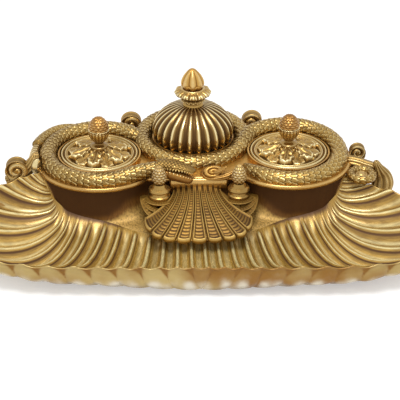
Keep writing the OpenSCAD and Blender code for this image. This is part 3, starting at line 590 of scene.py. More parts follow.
def housing_stations():
    """Rows of [wall x, wall y, foot x, foot y, foot z] once round the body."""
    s = linspace(-HALF, HALF, 331)
    front = np.column_stack([both_sides(WALL, s), both_sides(START, s)])
    side_w, side_f = 180 - LEAN - valley(WALL_R), 180 - LEAN - valley(START_R)
    right = arc_stations(RIGHT, -31, side_w, -31, side_f, 50)
    back_w, back_f = valley(WALL_R) - LEAN, valley(START_R) - LEAN
    back = arc_stations(CENTRE, back_w, 180 - back_w, back_f, 180 - back_f, 60)
    left = (right * (-1, 1, -1, 1, 1))[::-1]
    return concatenate([front, right, back[:-1], left])


def place_in_ring(share, count):
    return np.rint(share * count).astype(int) % count


STATIONS = housing_stations()
COVE = ((0, 0, 1, 0, 0), (1, 0, 0, 1, 0), (2, 0.35, 0, 0.25, 0.75), (3, 1, 0, 0, 1))
WALL_T = 3
OUTSIDE, TURNED_UNDER, INSIDE = 0.62, 0.66, 0.3


def housing_shape(u, v):
    """Down the outside and its cove to the foot, under it, and up the inside again."""
    wx, wy, fx, fy, fz = STATIONS[place_in_ring(u, len(STATIONS))].T
    back = v > TURNED_UNDER
    k = where(back, clamp((1 - v) / INSIDE), clamp(v / OUTSIDE)) * 3
    w = along_rows(COVE, k)
    x, y = mix(wx, fx, w[:, 1]), mix(wy, fy, w[:, 1])
    middle = maximum(29, (WALL_TOP + fz) / 2)
    z = WALL_TOP * w[:, 2] + middle * w[:, 3] + fz * w[:, 4]
    z = where(back, z - WALL_T * ramp(0.2, 1.6, k), z)
    z = mix(z, BASE_Z, where(back, ramp(2.7, 3, k), ramp(OUTSIDE, TURNED_UNDER, v)))
    inward = unit(stack([clip(fx, -WELL_X, WELL_X) - fx, WELL_Y - fy], 1))
    thick = WALL_T * ramp(TURNED_UNDER, 0.7, v)
    flared = ramp(0, 22, np.hypot(wx - fx, wy - fy))
    # painted shade: brown near the top, under the ledge, fading to the tray's gold towards the foot
    brown = mix(0.7, -0.9, ramp(mix(0.3, 0.05, flared), mix(0.56, 0.4, flared), v))
    z = z - 0.8 * ramp(2.6, 3, k) * flared * ~back
    return x + inward[:, 0] * thick, y + inward[:, 1] * thick, z, where(back, 0.3, brown)


walls = "wall_front wall_right wall_back wall_left"
make_piece(
    "housing_wall", len(STATIONS), 60, housing_shape, DARK_WALL, walls, "burnished_bronze", close_ends=False
)


def deck_outline(r):
    """The deck's edge once round, as points at radius r about the wells with a straight front."""
    front = WELL_Y - 34.7 - (r - LEDGE_R)
    a0 = -180 + np.degrees(np.arcsin((WELL_Y - front) / r))
    right = stack(polar(RIGHT, r, linspace(a0, 180 - LEAN - valley(r), 90)), 1)
    b0 = valley(r) - LEAN
    back = stack(polar(CENTRE, r, linspace(b0, 180 - b0, 70)), 1)
    straight = stack([linspace(0, right[0, 0], 24)[:-1], np.full(23, front)], 1)
    edge = concatenate([straight, right])
    return concatenate([edge, back[1:-1], (edge * (-1, 1))[::-1]])[:-1]


LEDGE_TURNS = linspace(0, TURN, 14, endpoint=False)
LEDGE_RINGS = np.array([deck_outline(LEDGE_R - 0.9 + 2.1 * cos(a)) for a in LEDGE_TURNS])
LEDGE_STEPS, LEDGE_POINTS, _ = LEDGE_RINGS.shape


def ledge_shape(u, v):
    """A half round moulding along the deck's edge, all the way round."""
    i, j = place_in_ring(u, LEDGE_POINTS), place_in_ring(v, LEDGE_STEPS)
    return *LEDGE_RINGS[j, i].T, 44.9 + 2.2 * sin(LEDGE_TURNS[j])


MOULDING_HALF_W = 25
MOULDING = (
    (0, 0.4, 46.6), (1, -2.6, 46.3), (2, -4.2, 45.0), (3, -4.8, 43.2), (4, -5.0, 41.4),
    (5, -4.8, 39.6), (6, -4.1, 37.8), (7, -2.6, 36.3), (8, 0.2, 35.6), (9, 0.4, 46.6),
)


def moulding_shape(u, v):
    """A soft broad band between the posts, under the deck's front edge."""
    _, out, z = along_rows(MOULDING, v * 9).T
    t = 2 * u - 1
    out = out * (1 - ramp(0.94, 1, abs(t)) * 0.5)
    return SHIFT + MOULDING_HALF_W * t, FRONT_Y - 0.2 + out, z


make_piece(
    "ledge_moulding", LEDGE_POINTS, LEDGE_STEPS, ledge_shape, LEDGE, "", "red_gold", close_ends=False
)
make_piece("front_moulding_run", 60, 54, moulding_shape, LEDGE, "front_moulding", "red_gold")


# ---- serpents
def measured(points):
    """Rows of (length so far, x, y, z, radius)."""
    steps = np.linalg.norm(np.diff(points[:, :3], axis=0), axis=1)
    return np.column_stack([concatenate([[0], np.cumsum(steps)]), points])


def scale_height(a, b):
    """Overlapping scales with rounded tips: a counts rows along the body, b counts scales round it.

    Gives the height, and a mask: pale (-) along each scale's tip, as wear and as a painted highlight, and
    brown (+) in the crevice beyond it."""
    row = np.floor(a)
    last = row - 1
    x_last, x_here = off_whole(b - 0.5 * (last % 2)), off_whole(b - 0.5 * (row % 2))
    tip = 1 + np.sqrt(clamp(1 - (2.05 * x_last) ** 2)) * 0.95
    y_last, y_here = a - last, a - row
    covered = y_last < tip
    y, x = where(covered, y_last, y_here), where(covered, x_last, x_here)
    beyond = where(covered, tip - y_last, y_last - tip)
    height = 0.26 * y + 0.24 * (1 - (2 * x) ** 2)
    return height, where(covered, -0.8 * bell(beyond, 0.16, 0.16), bell(beyond, 0, 0.22))


def serpent_shape(path, pitch, round_count, depth, u, v):
    distance = u * path[-1, 0]
    q = along_rows(path, distance)[..., 1:]
    d = unit(heading(path, distance, 0.6)[..., :2])
    angle = (v - 0.25) * TURN
    h, wear_and_highlight = scale_height(distance / pitch, v * round_count)
    r = q[:, 3] + depth * (h - 0.55) * ramp(0, 6, distance) * minimum(1, q[:, 3] / 6)
    x = q[:, 0] - d[:, 1] * r * cos(angle)
    y = q[:, 1] + d[:, 0] * r * cos(angle)
    return x, y, maximum(DECK_Z + 0.02, q[:, 2] + r * sin(angle)), wear_and_highlight


def on_coil(c, degrees, tilt, share=1.0):
    """Points round a coil that rises towards the back by its tilt."""
    a, t = radians(degrees), radians(tilt)
    x, y = about((0, 0), COIL_R, a)
    z = COIL_Z + y * sin(t)
    return stack([c[0] + x, c[1] + y * cos(t), z, TUBE_R * share * np.ones(len(a))], -1)


def neck_point(x, y, up, share):
    return (x, WELL_Y + y, DECK_Z + up, TUBE_R * share)


def left_path():
    back = on_coil(CENTRE, (192.0, 184.0), 2.5) - (0, 0, 1.5, 0)
    neck = [
        neck_point(-50, -35.6, 4.5, 0.96), neck_point(-37, -31.5, 5.6, 0.88),
        neck_point(-28, -31.4, 6.4, 0.84), neck_point(-19, -32.4, 6.2, 0.6),
    ]
    return concatenate([back, on_coil(LEFT, np.arange(52, 293, 6.0), 2.5), neck])


def right_path():
    ends = on_coil(RIGHT, (-152.0, -145.0, -137.0, -129.0), 4, np.array((0.35, 0.6, 0.8, 0.93)))
    coil = on_coil(RIGHT, np.arange(-122, 139, 6.0), 4)
    front = on_coil(CENTRE, np.arange(-34.0, -152.0, -6.0), 2.5) - (0, 0, 0.4, 0)
    front[-3:, 3] *= (0.96, 0.85, 0.6)
    return concatenate([ends, coil, front])


centre_path = on_coil(CENTRE, np.arange(-30.0, 232.0, 6.0), 2.5, 0.985)
for side, points in (("left", left_path()), ("right", right_path()), ("centre", centre_path)):
    path = measured(points)
    across = int(path[-1, 0] / 0.55)
    shape = partial(serpent_shape, path, 4.6, 11, 1.5)
    make_piece("serpent_body_" + side, across, 98, shape, SCALY, "serpent_" + side)


# ---- ribbed dome and its finial
DOME_R, DOME_H, SKIRT_H = 34.6, 28.6, 5.5
SEAT_ANGLE = np.arccos(0.25)
RIBS = 26
EQUATOR, BASE_TURN, INNER_R = 9.5, radians(24), 30.4
SKIN, CLOSING = 0.8, 0.04
SKIN_END = SKIN - CLOSING


def dome_outside(v, turn, rib, flute):
    """Radius and height of the ribbed skin, which closes in on its axis at the end."""
    room = cos(turn)
    fade = ramp(-BASE_TURN, -BASE_TURN + 0.08, turn) * ramp(0, 0.3, room)
    r = DOME_R * room + (0.35 * rib - 1.7 * room * flute) * fade
    above = EQUATOR + (SKIRT_H + DOME_H - EQUATOR) * sin(turn)
    z = where(turn < 0, EQUATOR * (1 + sin(turn) / sin(BASE_TURN)), above)
    return where(v > SKIN_END, r * (SKIN - v) / CLOSING + 0.02, r), z


def dome_inside(v):
    b = clamp((v - SKIN) / (1 - SKIN))
    fall = SEAT_ANGLE * (1 - clamp((b - 0.1) / 0.8))
    r = INNER_R * cos(fall) * ramp(-0.02, 0.1, b)
    z = (SKIRT_H + (DOME_H - 2) * sin(fall)) * (1 - ramp(0.8, 0.95, b))
    return mix(r, DOME_R * cos(BASE_TURN), ramp(0.95, 1, b)), z


def dome_shape(u, v):
    """A ball cut off below its equator, ribbed outside and plain inside."""
    outer = v < SKIN
    turn = np.interp(v, (0, CLOSING, SKIN_END, SKIN), (-BASE_TURN, -BASE_TURN, SEAT_ANGLE, SEAT_ANGLE))
    d = abs(off_whole(u * RIBS))
    rib = np.exp(-((d / 0.12) ** 4))
    flute = sin(pi * clip((d - 0.14) / 0.72, 0, 0.5))
    skins = zip(dome_outside(v, turn, rib, flute), dome_inside(v))
    r, z = (where(outer, a, b) for a, b in skins)
    hollow = where(outer & (v > CLOSING), 0.9 * flute - 0.9 * rib * ramp(0.08, 0.2, v), 0.3)
    return *about(CENTRE, r, u * TURN), FLANGE_TOP + z, hollow


make_piece("ribbed_dome", RIBS * 14, 84, dome_shape, DOME, "dome_lid", body="dome_lid")

SEAT_Z = FLANGE_TOP + SKIRT_H + DOME_H * sin(SEAT_ANGLE)
CUP_H, CUP_R, BUD_H, BUD_R = 16.0, 15.8, 17.8, 9.7
FINIAL_LEAN = np.tan(radians(1.3))
CUP_ROWS = (
    (0, 0.02, 0.0), (1, 0.52, 0.0), (2, 0.56, 0.1), (3, 0.5, 0.2), (4, 0.62, 0.32), (4.6, 0.68, 0.36),
    (5, 0.6, 0.42), (6, 0.78, 0.55), (7, 0.98, 0.66), (7.5, 1.0, 0.72), (8, 0.93, 0.8), (9, 0.7, 0.9),
    (10, 0.55, 1.0), (11, 0.02, 1.0),
)
BUD_ROWS = (
    (0, 0.02, 0.02), (1, 0.6, 0.0), (2, 0.86, 0.06), (2.6, 0.9, 0.12), (3, 1.0, 0.16), (4, 1.03, 0.26),
    (5, 1.0, 0.36), (6, 0.9, 0.5), (7, 0.76, 0.64), (8, 0.56, 0.78), (9, 0.3, 0.92), (10, 0.02, 1),
)


def on_finial(r, around, up):
    """The finial leans a little, as a hand-fitted one does."""
    x, y = about(CENTRE, r, around)
    return x - up * FINIAL_LEAN, y, SEAT_Z + up


def cup_shape(u, v):
    """Six leaves turned out over a collar with a beaded foot."""
    _, wide, up = along_rows(CUP_ROWS, v * 11).T
    around = u * TURN
    leaf = abs(cos(6 * around)) ** 0.6
    vein = abs(cos(18 * around))
    dish = ramp(0.5, 0.66, up) * (1 - ramp(0.82, 0.95, up))
    low = bell(up, 0.35, 0.06)
    r = wide * CUP_R * (1 - 0.07 * (1 - leaf) * dish) - 0.6 * (1 - vein) * (dish + low)
    tips = 1.4 * (leaf - 0.6) * dish * (v * 11 > 7.2) - 1.2 * low * abs(cos(8 * around))
    return on_finial(r, around, clip(up * CUP_H + tips, 0, CUP_H))


def bud_shape(u, v):
    """Creased petals whose pointed tips hang over the foot."""
    _, wide, up = along_rows(BUD_ROWS, v * 10).T
    around = u * TURN
    petal = abs(cos(4 * around)) ** 0.6
    body = ramp(0.14, 0.22, up) * (1 - ramp(0.85, 1, up))
    low = ramp(0.42, 0.12, up) * ramp(0.5, 0.9, wide)
    r = wide * BUD_R * (1 - 0.17 * (1 - petal) * body)
    z = clip(up * BUD_H - 1.5 * low * (petal - 0.5), 0, BUD_H)
    return *on_finial(r, around, CUP_H + z), 1.1 * (0.6 - petal) * body + 0.5 * ramp(0.2, 0.05, up)


make_piece("finial_leaves", 216, 80, cup_shape, GILT, "leafy_cup", "pale_gilt", "dome_lid", (0.5, 14))
make_piece("finial_bud", 192, 72, bud_shape, RED_GOLD, "bud", "pale_gilt", "dome_lid")

# ---- flat lids with acanthus relief
LEAVES, HUB_R = 6, 6
LID_SKIN, FIELD_R = 0.9, 27.8


def acanthus(around, r, turn, reach):
    """The height of a ring of lobed leaves, and their outline."""
    across = abs(((around / TURN * LEAVES + turn) % 1.0 - 0.5) * 2)
    t = clamp((r - HUB_R) / (reach - HUB_R))
    lobes = 1 - 0.28 * abs(sin(3.2 * pi * t))
    half = (0.5 + 0.48 * sin(pi * clamp(t * 0.95 + 0.1))) * lobes * (1 - ramp(0.86, 1.0, t))
    share = across / maximum(half, 0.02)
    inside = 1 - ramp(0.78, 1.0, share)
    side_veins = beading(3.2 * t - 0.9 * across + 0.5 + 0.6 / TURN) * ramp(0.1, 0.4, across)
    swell = 1.5 * (1 - 0.55 * share ** 2)
    height = swell + 0.75 * side_veins - 0.8 * bell(across, 0, 0.1) + 0.7 * ramp(0.55, 0.85, t)
    return inside * height * ramp(0, 0.12, t), inside


def lid_relief(around, r):
    """Twelve leaves in two layers over a low dome, with the ground sunk between them."""
    over, over_mask = acanthus(around, r, 0.2, 25.5)
    under, under_mask = acanthus(around, r, 0.7, 27)
    leaf = 1.15 * maximum(over + 0.6 * over_mask, 0.55 * under)
    pit = 1.9 * (1 - maximum(over_mask, 0.6 * under_mask)) * ramp(7, 10, r) * ramp(27.4, 25, r)
    return where(r < FIELD_R, 4.4 * ramp(27, 5, r) + leaf - pit, 0.0)


def lid_shape(c, u, v):
    around = u * TURN
    r = where(v < LID_SKIN, LID_R * (1 - clamp(v / LID_SKIN)), 0)
    rings = bell(r, 31.7, 0.8) + 0.8 * bell(r, 28.7, 0.55) - 0.9 * bell(r, 30.1, 0.5)
    edge = 0.7 * (1 - ramp(LID_R, LID_R - 0.8, r))
    z = LID_TOP - edge + rings + lid_relief(around, r) + 1.6 * ramp(7.6, 6, r)
    z = where((v == 0) | (v >= LID_SKIN), FLANGE_TOP, z)
    return *about(c, r, around), maximum(z, FLANGE_TOP)


for side, _, c in SIDES:
    lid = "lid_" + side
    make_piece("relief_" + lid, 320, 110, partial(lid_shape, c), GILT, lid, body=lid, hollow=(0.8, 20))

# ---- seed pods on their calyxes
POD_BASE, POD_R, CALYX_H, POD_H = 58.0, 9.05, 17.04, 11.36
CALYX_ROWS = (
    (0, 0.02, 0), (1, 0.76, 0), (2, 0.84, 0.06), (3, 0.78, 0.13), (4, 0.5, 0.2), (5, 0.4, 0.26),
    (6, 0.5, 0.34), (7, 0.8, 0.52), (8, 1.0, 0.76), (9, 1.0, 0.93), (10, 0.9, 1.0), (11, 0.02, 1.0),
)
POD_ROWS = (
    (0, 0.02, 0.0), (1, 0.9, 0.0), (2, 0.96, 0.15), (3, 0.93, 0.35), (4, 0.82, 0.55), (5, 0.66, 0.74),
    (6, 0.44, 0.9), (7, 0.2, 0.98), (8, 0.02, 1),
)


def calyx_shape(c, u, v):
    _, wide, up = along_rows(CALYX_ROWS, v * 11).T
    flute = abs(cos(9 * u * TURN)) ** 0.8
    body = ramp(0.3, 0.5, up) * (1 - ramp(0.97, 1.0, up))
    return *about(c, wide * POD_R - 0.8 * (1 - flute) * body, u * TURN), POD_BASE + up * CALYX_H


def seeded(rows, n_around, n_up, depth, r0, z0, h, c, u, v):
    """A head covered in staggered seeds, or scales, between fine grooves."""
    _, wide, up = along_rows(rows, v * (len(rows) - 1)).T
    row = np.floor(up * n_up)
    bx, by = off_whole(u * n_around - 0.5 * (row % 2)), up * n_up - row - 0.5
    bump = clip(1 - (2 * bx) ** 2 - (2 * by) ** 2, -0.2, 1)
    r = maximum(wide * r0 - depth * (1 - bump) * ramp(0.0, 0.25, wide), 0.05)
    return *about(c, r, u * TURN), z0 + up * h


for side, _, c in SIDES:
    lid, calyx, pod = "lid_" + side, "calyx_" + side, "seed_pod_" + side
    make_piece("fluted_" + calyx, 162, 56, partial(calyx_shape, c), DOME, calyx, body=lid, hollow=(0.4, 10))
    seeds = partial(seeded, POD_ROWS, 12, 6, 0.55, POD_R * 0.99, POD_BASE + CALYX_H, POD_H, c)
    make_piece("seed_head_" + side, 132, 56, seeds, POD_GOLD, pod, "pale_gilt", lid, (0.4, 8))

# ---- front shell and pinecones
SHELL_X, SHELL_TOP_Y, SHELL_T = SHIFT - 1.5, FRONT_Y - 4.8, 1.4
SHELL_FLUTES, SHELL_BEADS = 9, 20
SHELL_FAN = radians(72)
FACE = 0.7


def shell_line(t, v):
    """A petal's run: t goes from -1 to 1 across the fan, v from its root to its tip."""
    tip_x, tip_y = 45 * sin(SHELL_FAN * t) / sin(SHELL_FAN), WELL_Y - 94 + 25 * abs(t) ** 5
    x = SHELL_X + 20 * t + (tip_x - 20 * t) * v ** (2.2 - 0.4 * abs(t))
    z = mix(40 - 3 * t**2, 20.5 + 8 * t**2, v) + 4.5 * sin(pi * v) * (1 - t**2)
    return x, mix(SHELL_TOP_Y, tip_y, v), z


def petal_relief(a, d):
    """Raised borders, a beaded field and a sunk gap: a runs along a petal, d from its middle."""
    opened = ramp(0.02, 0.2, a)
    inner, outer = mix(0.36, 0.6, a), mix(0.56, 0.78, a)
    border = maximum(ramp(inner, outer, d), ramp(0.945, 0.975, a)) * (1 - 0.75 * ramp(0.84, 1, d) ** 2)
    gap = bell(d, 1, 0.13) * opened
    beads = beading(a * SHELL_BEADS) * (1 - ramp(inner - 0.12, inner, d)) * opened
    beads = beads * (1 - ramp(0.91, 0.94, a))
    height = mix(4.4, 11.0, a) * (0.15 * border - 0.2 * gap) * opened + 0.26 * beads
    hollow = 0.6 * (1 - border) * (1 - 1.3 * beads) + 1.3 * gap - 0.6 * border
    return height - 0.9 * ramp(0.975, 1, a), clip(hollow, -1, 1)


def front_shell_shape(u, v):
    t = 2 * u - 1
    d = abs((u * SHELL_FLUTES) % 1.0 - 0.5) * 2
    tips = 1 + 0.05 * (np.sqrt(clamp(1 - d**2)) - 0.6)
    a, b = clamp(v / FACE), clamp((v - FACE) / (1 - FACE))
    height, hollow = petal_relief(a, d)
    x, y, z = shell_line(t, minimum(a * tips, 1.03))
    xb, yb, zb = shell_line(t, (1 - b) * minimum(tips, 1.03))
    face, back = (x, y, z + height, hollow), (xb, yb, zb - SHELL_T, 0)
    return [where(v < FACE, p, q) for p, q in zip(face, back)]


make_piece("scallop_front", SHELL_FLUTES * 20, 240, front_shell_shape, SHELL_GOLD, "front_shell")
CONE_ROWS = (
    (0, 0.02, 0), (1, 0.5, 0), (2, 0.82, 0.1), (3, 0.97, 0.24), (4, 1.0, 0.38), (5, 0.92, 0.55),
    (6, 0.75, 0.72), (7, 0.5, 0.87), (8, 0.24, 0.97), (9, 0.02, 1.0),
)
for side, sign, _ in SIDES:
    scales = partial(seeded, CONE_ROWS, 10, 8, 0.6, 6.5, 46.5, 17, (SHIFT + POST_X * sign, POST_Y))
    cone = "pinecone_" + side
    make_piece("pinecone_head_" + side, 120, 64, scales, PALE, cone, "pale_gilt", hollow=(0.4, 8))

# ---- head of the serpent
UPRIGHT = (0, 1, 0)


def signed_power(x, e):
    return np.sign(x) * abs(x) ** e


def drawn_bar(rows, side=None, relief=None, power=2.3):
    """A bar drawn along rows of (step, x, y, z, half width, half thickness), with a worked skin.

    The rows' y counts from the wells. Its width lies level, or as near to side as its run allows."""
    rows = np.asarray(rows, float)

    def shape(u, v):
        k, a = mix(rows[0, 0], rows[-1, 0], u), v * TURN
        q = along_rows(rows, k)[..., 1:] + (0, WELL_Y, 0, 0, 0)
        t = unit(heading(rows, k, 0.04))
        across = np.cross(t, (0, 0, 1.0)) if side is None else side - (t @ np.asarray(side))[:, None] * t
        across = unit(across)
        height, hollow = relief(k, a)
        w = signed_power(cos(a), 2 / power) * q[:, 3] + cos(a) * height
        h = signed_power(sin(a), 2 / power) * q[:, 4] + sin(a) * height
        return *(q[:, :3] + across * w[:, None] + np.cross(across, t) * h[:, None]).T, hollow

    return shape


UPPER_JAW = (
    (0, -31, -30.6, 56.0, 6.2, 5.0), (1, -24, -31.3, 57.2, 6.9, 4.2), (2, -17, -32.8, 57.2, 7.0, 3.4),
    (3, -10, -34.6, 56.0, 5.6, 2.7), (4, -4.5, -36, 54.6, 4.6, 2.2), (5, -1.4, -36.8, 53.6, 3.4, 1.6),
    (5.4, -0.7, -37.0, 53.2, 1.8, 1.0), (5.6, -0.6, -37.0, 53.1, 0.1, 0.1),
)
LOWER_JAW = (
    (0, -28, -33.5, 51.6, 5.4, 4.0), (1, -20, -36.2, 50.6, 5.6, 4.2), (2, -12, -38.8, 48.8, 5.0, 4.0),
    (3, -6.5, -40.2, 47.6, 4.2, 3.4), (3.6, -3.6, -40.6, 47.2, 3.2, 2.4),
    (3.9, -2.4, -40.8, 47.1, 0.1, 0.1),
)
LIP_BEADS, EYE_R, EYE_X, EYE_Z = 2.8, 1.5, -17.6, 58.4


def lip_beads(k, a, places):
    return beading(k * LIP_BEADS) * sum(bell(np.degrees(a), place, 13) for place in places)


def jaw_relief(k, a):
    """A beaded lip along both sides of the snout, and low scales over the brow."""
    beads = lip_beads(k, a, (196, 344)) * ramp(0.6, 1.4, k) * (1 - ramp(5.0, 5.4, k))
    scales = cos(k * TURN * 2.4) * cos(a * 9) * (1 - ramp(2.6, 4.2, k))
    return 1.5 * beads + 0.3 * scales, 0.3 - 1.6 * beads - 0.3 * scales


def lower_relief(k, a):
    beads = lip_beads(k, a, (48, 132)) * ramp(0.4, 1, k)
    return 1.3 * beads, 0.5 - 1.6 * beads


for name, rows, relief, gold in (
    ("upper_jaw", UPPER_JAW, jaw_relief, SCALY), ("lower_jaw", LOWER_JAW, lower_relief, RED_GOLD)
):
    make_piece("serpent_" + name, 120, 72, drawn_bar(rows, relief=relief, power=2.1), gold)
for name, y in (("near", -38.6), ("far", -27.2)):
    at = Vector((EYE_X, WELL_Y + y, EYE_Z)) * MM
    bpy.ops.mesh.primitive_uv_sphere_add(
        segments=20, ring_count=12, radius=EYE_R * MM, location=at, scale=(1.25, 0.8, 0.8)
    )
    eye = bpy.context.object
    eye.name = eye.data.name = "serpent_eye_" + name
    bpy.ops.object.transform_apply()
    bpy.ops.object.shade_smooth()
    finish_piece(eye, LEDGE)


# ---- leaves and volutes
def leaf_relief(ribs, depth, k, a):
    wave = abs(cos(a * ribs / 2))
    return -depth * (1 - wave ** 0.6), 0.8 * (0.6 - wave)


SWEEP = (
    (0, 10, -35.4, 46.6, 3.0, 1.0), (1, 17, -36.6, 47.2, 3.6, 2.4), (2, 25, -36.2, 48.6, 3.8, 3.0),
    (3, 31, -34.2, 50.6, 3.4, 2.4), (4, 35, -32.6, 52.6, 2.4, 1.4), (4.4, 36, -32.2, 53.0, 0.1, 0.1),
)
HOOK = (
    (0, 15.5, -35.5, 52.0, 2.4, 1.2), (1, 18.6, -37.0, 53.0, 2.6, 1.8), (2, 22.4, -37.6, 55.2, 2.0, 1.4),
    (3, 25.2, -37.4, 57.4, 1.0, 0.8), (3.4, 26.0, -37.4, 58.0, 0.1, 0.1),
)
CURL_TILT = radians(38)
CURL_X, CURL_Y, CURL_Z = 14.5, WELL_Y - 33.2, 49.6


def curl_shape(u, k):
    """A mound on the edge of the deck, with a groove winding in to its crown."""
    a = u * TURN
    band = abs(cos(pi * (k ** 0.9 * 2.4 + u))) ** 0.6
    rise = 5.2 * np.sqrt(clamp(1 - k ** 2.4)) - 1.3 * (1 - band) * ramp(1, 0.85, k)
    rise = rise - 3.5 * ramp(0.86, 1, k)
    across, along = 10.5 * k * cos(a), 7.0 * k * sin(a)
    y = CURL_Y + along * sin(CURL_TILT) - rise * cos(CURL_TILT)
    z = CURL_Z + along * cos(CURL_TILT) + rise * sin(CURL_TILT)
    return CURL_X + across, y, z, 1.2 * (0.8 - band) * ramp(0.1, 0.4, k)


make_piece("curled_leaf_top", 120, 60, curl_shape, RED_GOLD, "curled_leaf", "red_gold")
for name, rows, ribs in (("sweep", SWEEP, 9), ("hook", HOOK, 7)):
    leaf = drawn_bar(rows, UPRIGHT, partial(leaf_relief, ribs, 0.6))
    make_piece("curled_leaf_" + name, 120, 54, leaf, RED_GOLD, "", "red_gold")

SPIRAL_TURNS, SPIRAL_LIFT = 1.9, 2.4
END_SHARE = 0.4


def volute_shape(x, y, z, r, w, hand, u, v):
    """A roll lying front to back, with a spiral band standing up on both its ends."""
    near, flat = v < 0.5, abs(v - 0.5) >= 0.1
    k = clamp(minimum(v, 1 - v) / END_SHARE)
    band = sin(pi * ((k ** 0.8 * SPIRAL_TURNS - hand * u) % 1.0)) ** 0.55
    eye = ramp(0.24, 0.14, k)
    drop = SPIRAL_LIFT * (1 - band) * (1 - eye) * ramp(1, 0.88, k) + 0.5 * ramp(0.85, 1, k)
    across = clamp((v - END_SHARE) / 0.2)
    away = where(flat, where(near, -1, 1) * (w / 2 - drop), (w - 1) * (across - 0.5))
    waist = 1 - 0.09 * sin(pi * across) + 0.025 * cos(across * TURN * 3)
    px, pz = about((x, z), r * where(flat, k, waist), u * TURN)
    hollow = where(flat, 1.2 * (0.6 - band) * (1 - eye), 0.5 * sin(pi * across) - 0.1)
    return px, y + away, pz, hollow


# each stem's rows are (step, x and y from the roll's middle, z, half width, half thickness)
BACK_STEM = (
    (0, -7.4, 0, 46.5, 5, 1.5), (1, -6.4, 0, 41.5, 5, 2.4), (2, -4.4, -3, 36.5, 5, 3),
    (3, -2, -7, 33, 4.6, 3.4), (4, -1, -10, 31, 4, 2),
)
END_STEM = (
    (0, 8.2, 0, 47, 5.3, 0.6), (1, 7.2, 0, 41, 5.4, 1.8), (2, 2.5, 0, 35, 5.4, 3.4),
    (3, -5, 1, 33.6, 5, 3.2), (4, -13, 2, 34.4, 4.6, 3.0), (5, -19, 3, 35, 4.4, 3),
)
EAR_STEM = (
    (0, 6.2, 0, 45, 3.8, 0.5), (1, 5.6, 0, 41, 3.9, 1.5), (2, 1, 0, 38, 3.9, 2.4),
    (3, -5, 0, 38, 3.8, 2.6), (4, -10, 0, 38, 3.6, 2.4),
)
for place, hand, x, y, z, r, w, stem in (
    ("back_left", -1, -53.5, 60.6, 49.5, 9.1, 10.6, BACK_STEM),
    ("back_right", 1, 53.5, 60.6, 49.5, 9.1, 10.6, BACK_STEM),
    ("end_left", -1, -149.5, -16.8, 47, 9.4, 10.8, END_STEM),
    ("ear_right", 1, 141, 10, 45, 6.9, 7.8, EAR_STEM),
):
    name = place.replace("_", "_volute_")
    node = place.replace("_", "_scroll_")
    make_piece(name, 120, 90, partial(volute_shape, x, WELL_Y + y, z, r, w, hand), GILT, node)
    rows = [(k, x + hand * dx, y + dy, *rest) for k, dx, dy, *rest in stem]
    make_piece(name + "_arm", 90, 48, drawn_bar(rows, UPRIGHT, partial(leaf_relief, 8, 0.7)), GILT)

# grooved leaves that fill the corners between the scrolls, the coils and the tray
END_LEAVES = {
    "end_leaf_left": (
        (0, -158, -17, 35, 5.5, 4.6), (1, -150.5, -16, 38.6, 6, 6.4), (2, -143.5, -14, 43, 6, 6.4),
        (3, -138, -12, 48, 6, 5.6), (4, -134.6, -9, 53, 5.6, 4.2), (4.6, -133.2, -7, 57, 4, 2),
        (4.8, -133, -7, 58, 0.1, 0.1),
    ),
    "end_leaf_right": (
        (0, 124, -4, 40, 4, 4), (1, 129, -6, 43, 5.6, 6.0), (2, 136, -9, 43, 6, 7.0),
        (3, 144, -12, 41, 6, 7.4), (4, 150, -14, 39, 6, 8.0), (5, 156, -16, 36.6, 5.6, 7.6),
        (6, 160, -17, 33, 4, 5), (6.2, 160.6, -17, 32.6, 0.1, 0.1),
    ),
    "end_lobe_right": (
        (0, 159, -19, 24, 5, 9), (1, 159.6, -19, 30, 5.4, 9.6), (2, 159, -19, 36, 5.6, 8.4),
        (3, 157, -19, 41, 5.2, 6.2), (4, 155, -18.6, 45.4, 4.4, 3.8), (5, 153.6, -18.4, 48.6, 3.8, 3.0),
        (5.6, 153.4, -18.4, 50.8, 2.2, 1.6), (5.8, 153.4, -18.4, 51.4, 0.1, 0.1),
    ),
    "ledge_leaf_right": (
        (0, 106, -27, 41, 2.4, 1.6), (1, 111, -28, 39.6, 4.2, 3.2), (2, 117, -28, 37, 4.8, 4.2),
        (3, 123, -26, 34, 4.2, 3.6), (4, 128, -23, 32, 2.4, 1.8), (4.2, 128.6, -23, 31.6, 0.1, 0.1),
    ),
}
for name, rows in END_LEAVES.items():
    node = "end_scroll_right" if name == "end_lobe_right" else ""
    make_piece(name, 140, 66, drawn_bar(rows, UPRIGHT, partial(leaf_relief, 11, 0.9)), GILT, node)

# ---- tails, leaf band and the shell's ears
LOOP_AT, LOOP_Z, LOOP_R, LOOP_TUBE = (139.8, WELL_Y - 28), 43.0, 9.2, 3.5
BOSS = (
    (0, 0.02, 2.3), (1, 2.4, 2.0), (2, 3.6, 1.1), (3, 4.4, 1.3), (4, 5.4, 0.6), (5, 6.2, -1),
    (6, 0.02, -2.4),
)
LEAF_BAND = (
    (0, 51.4, 0.2), (1, 51.4, 6), (2, 53.4, 8.9), (3, 57, 7.6), (4, 59.4, 3), (5, 59.6, 0),
    (6, 57.6, -5), (7, 56.6, -8.8), (8, 53.2, -8.8), (9, 53.1, -0.4), (10, 51.4, 0.2),
)
LOOP_RING = measured(stack([*about(LOOP_AT, LOOP_R, linspace(0, TURN, 61)), np.full(61, LOOP_Z)], 1))


def tail_loop_shape(u, v):
    height, wear_and_highlight = scale_height(u * 14, v * 8)
    tube = LOOP_TUBE + 0.9 * (height - 0.4)
    angle = (v - 0.25) * TURN
    ring = along_rows(LOOP_RING, u * LOOP_RING[-1, 0])[:, 1:3]
    x, y = mix(LOOP_AT, ring, 1 + (tube * cos(angle) / LOOP_R)[:, None]).T
    return x, y, LOOP_Z + tube * sin(angle), wear_and_highlight


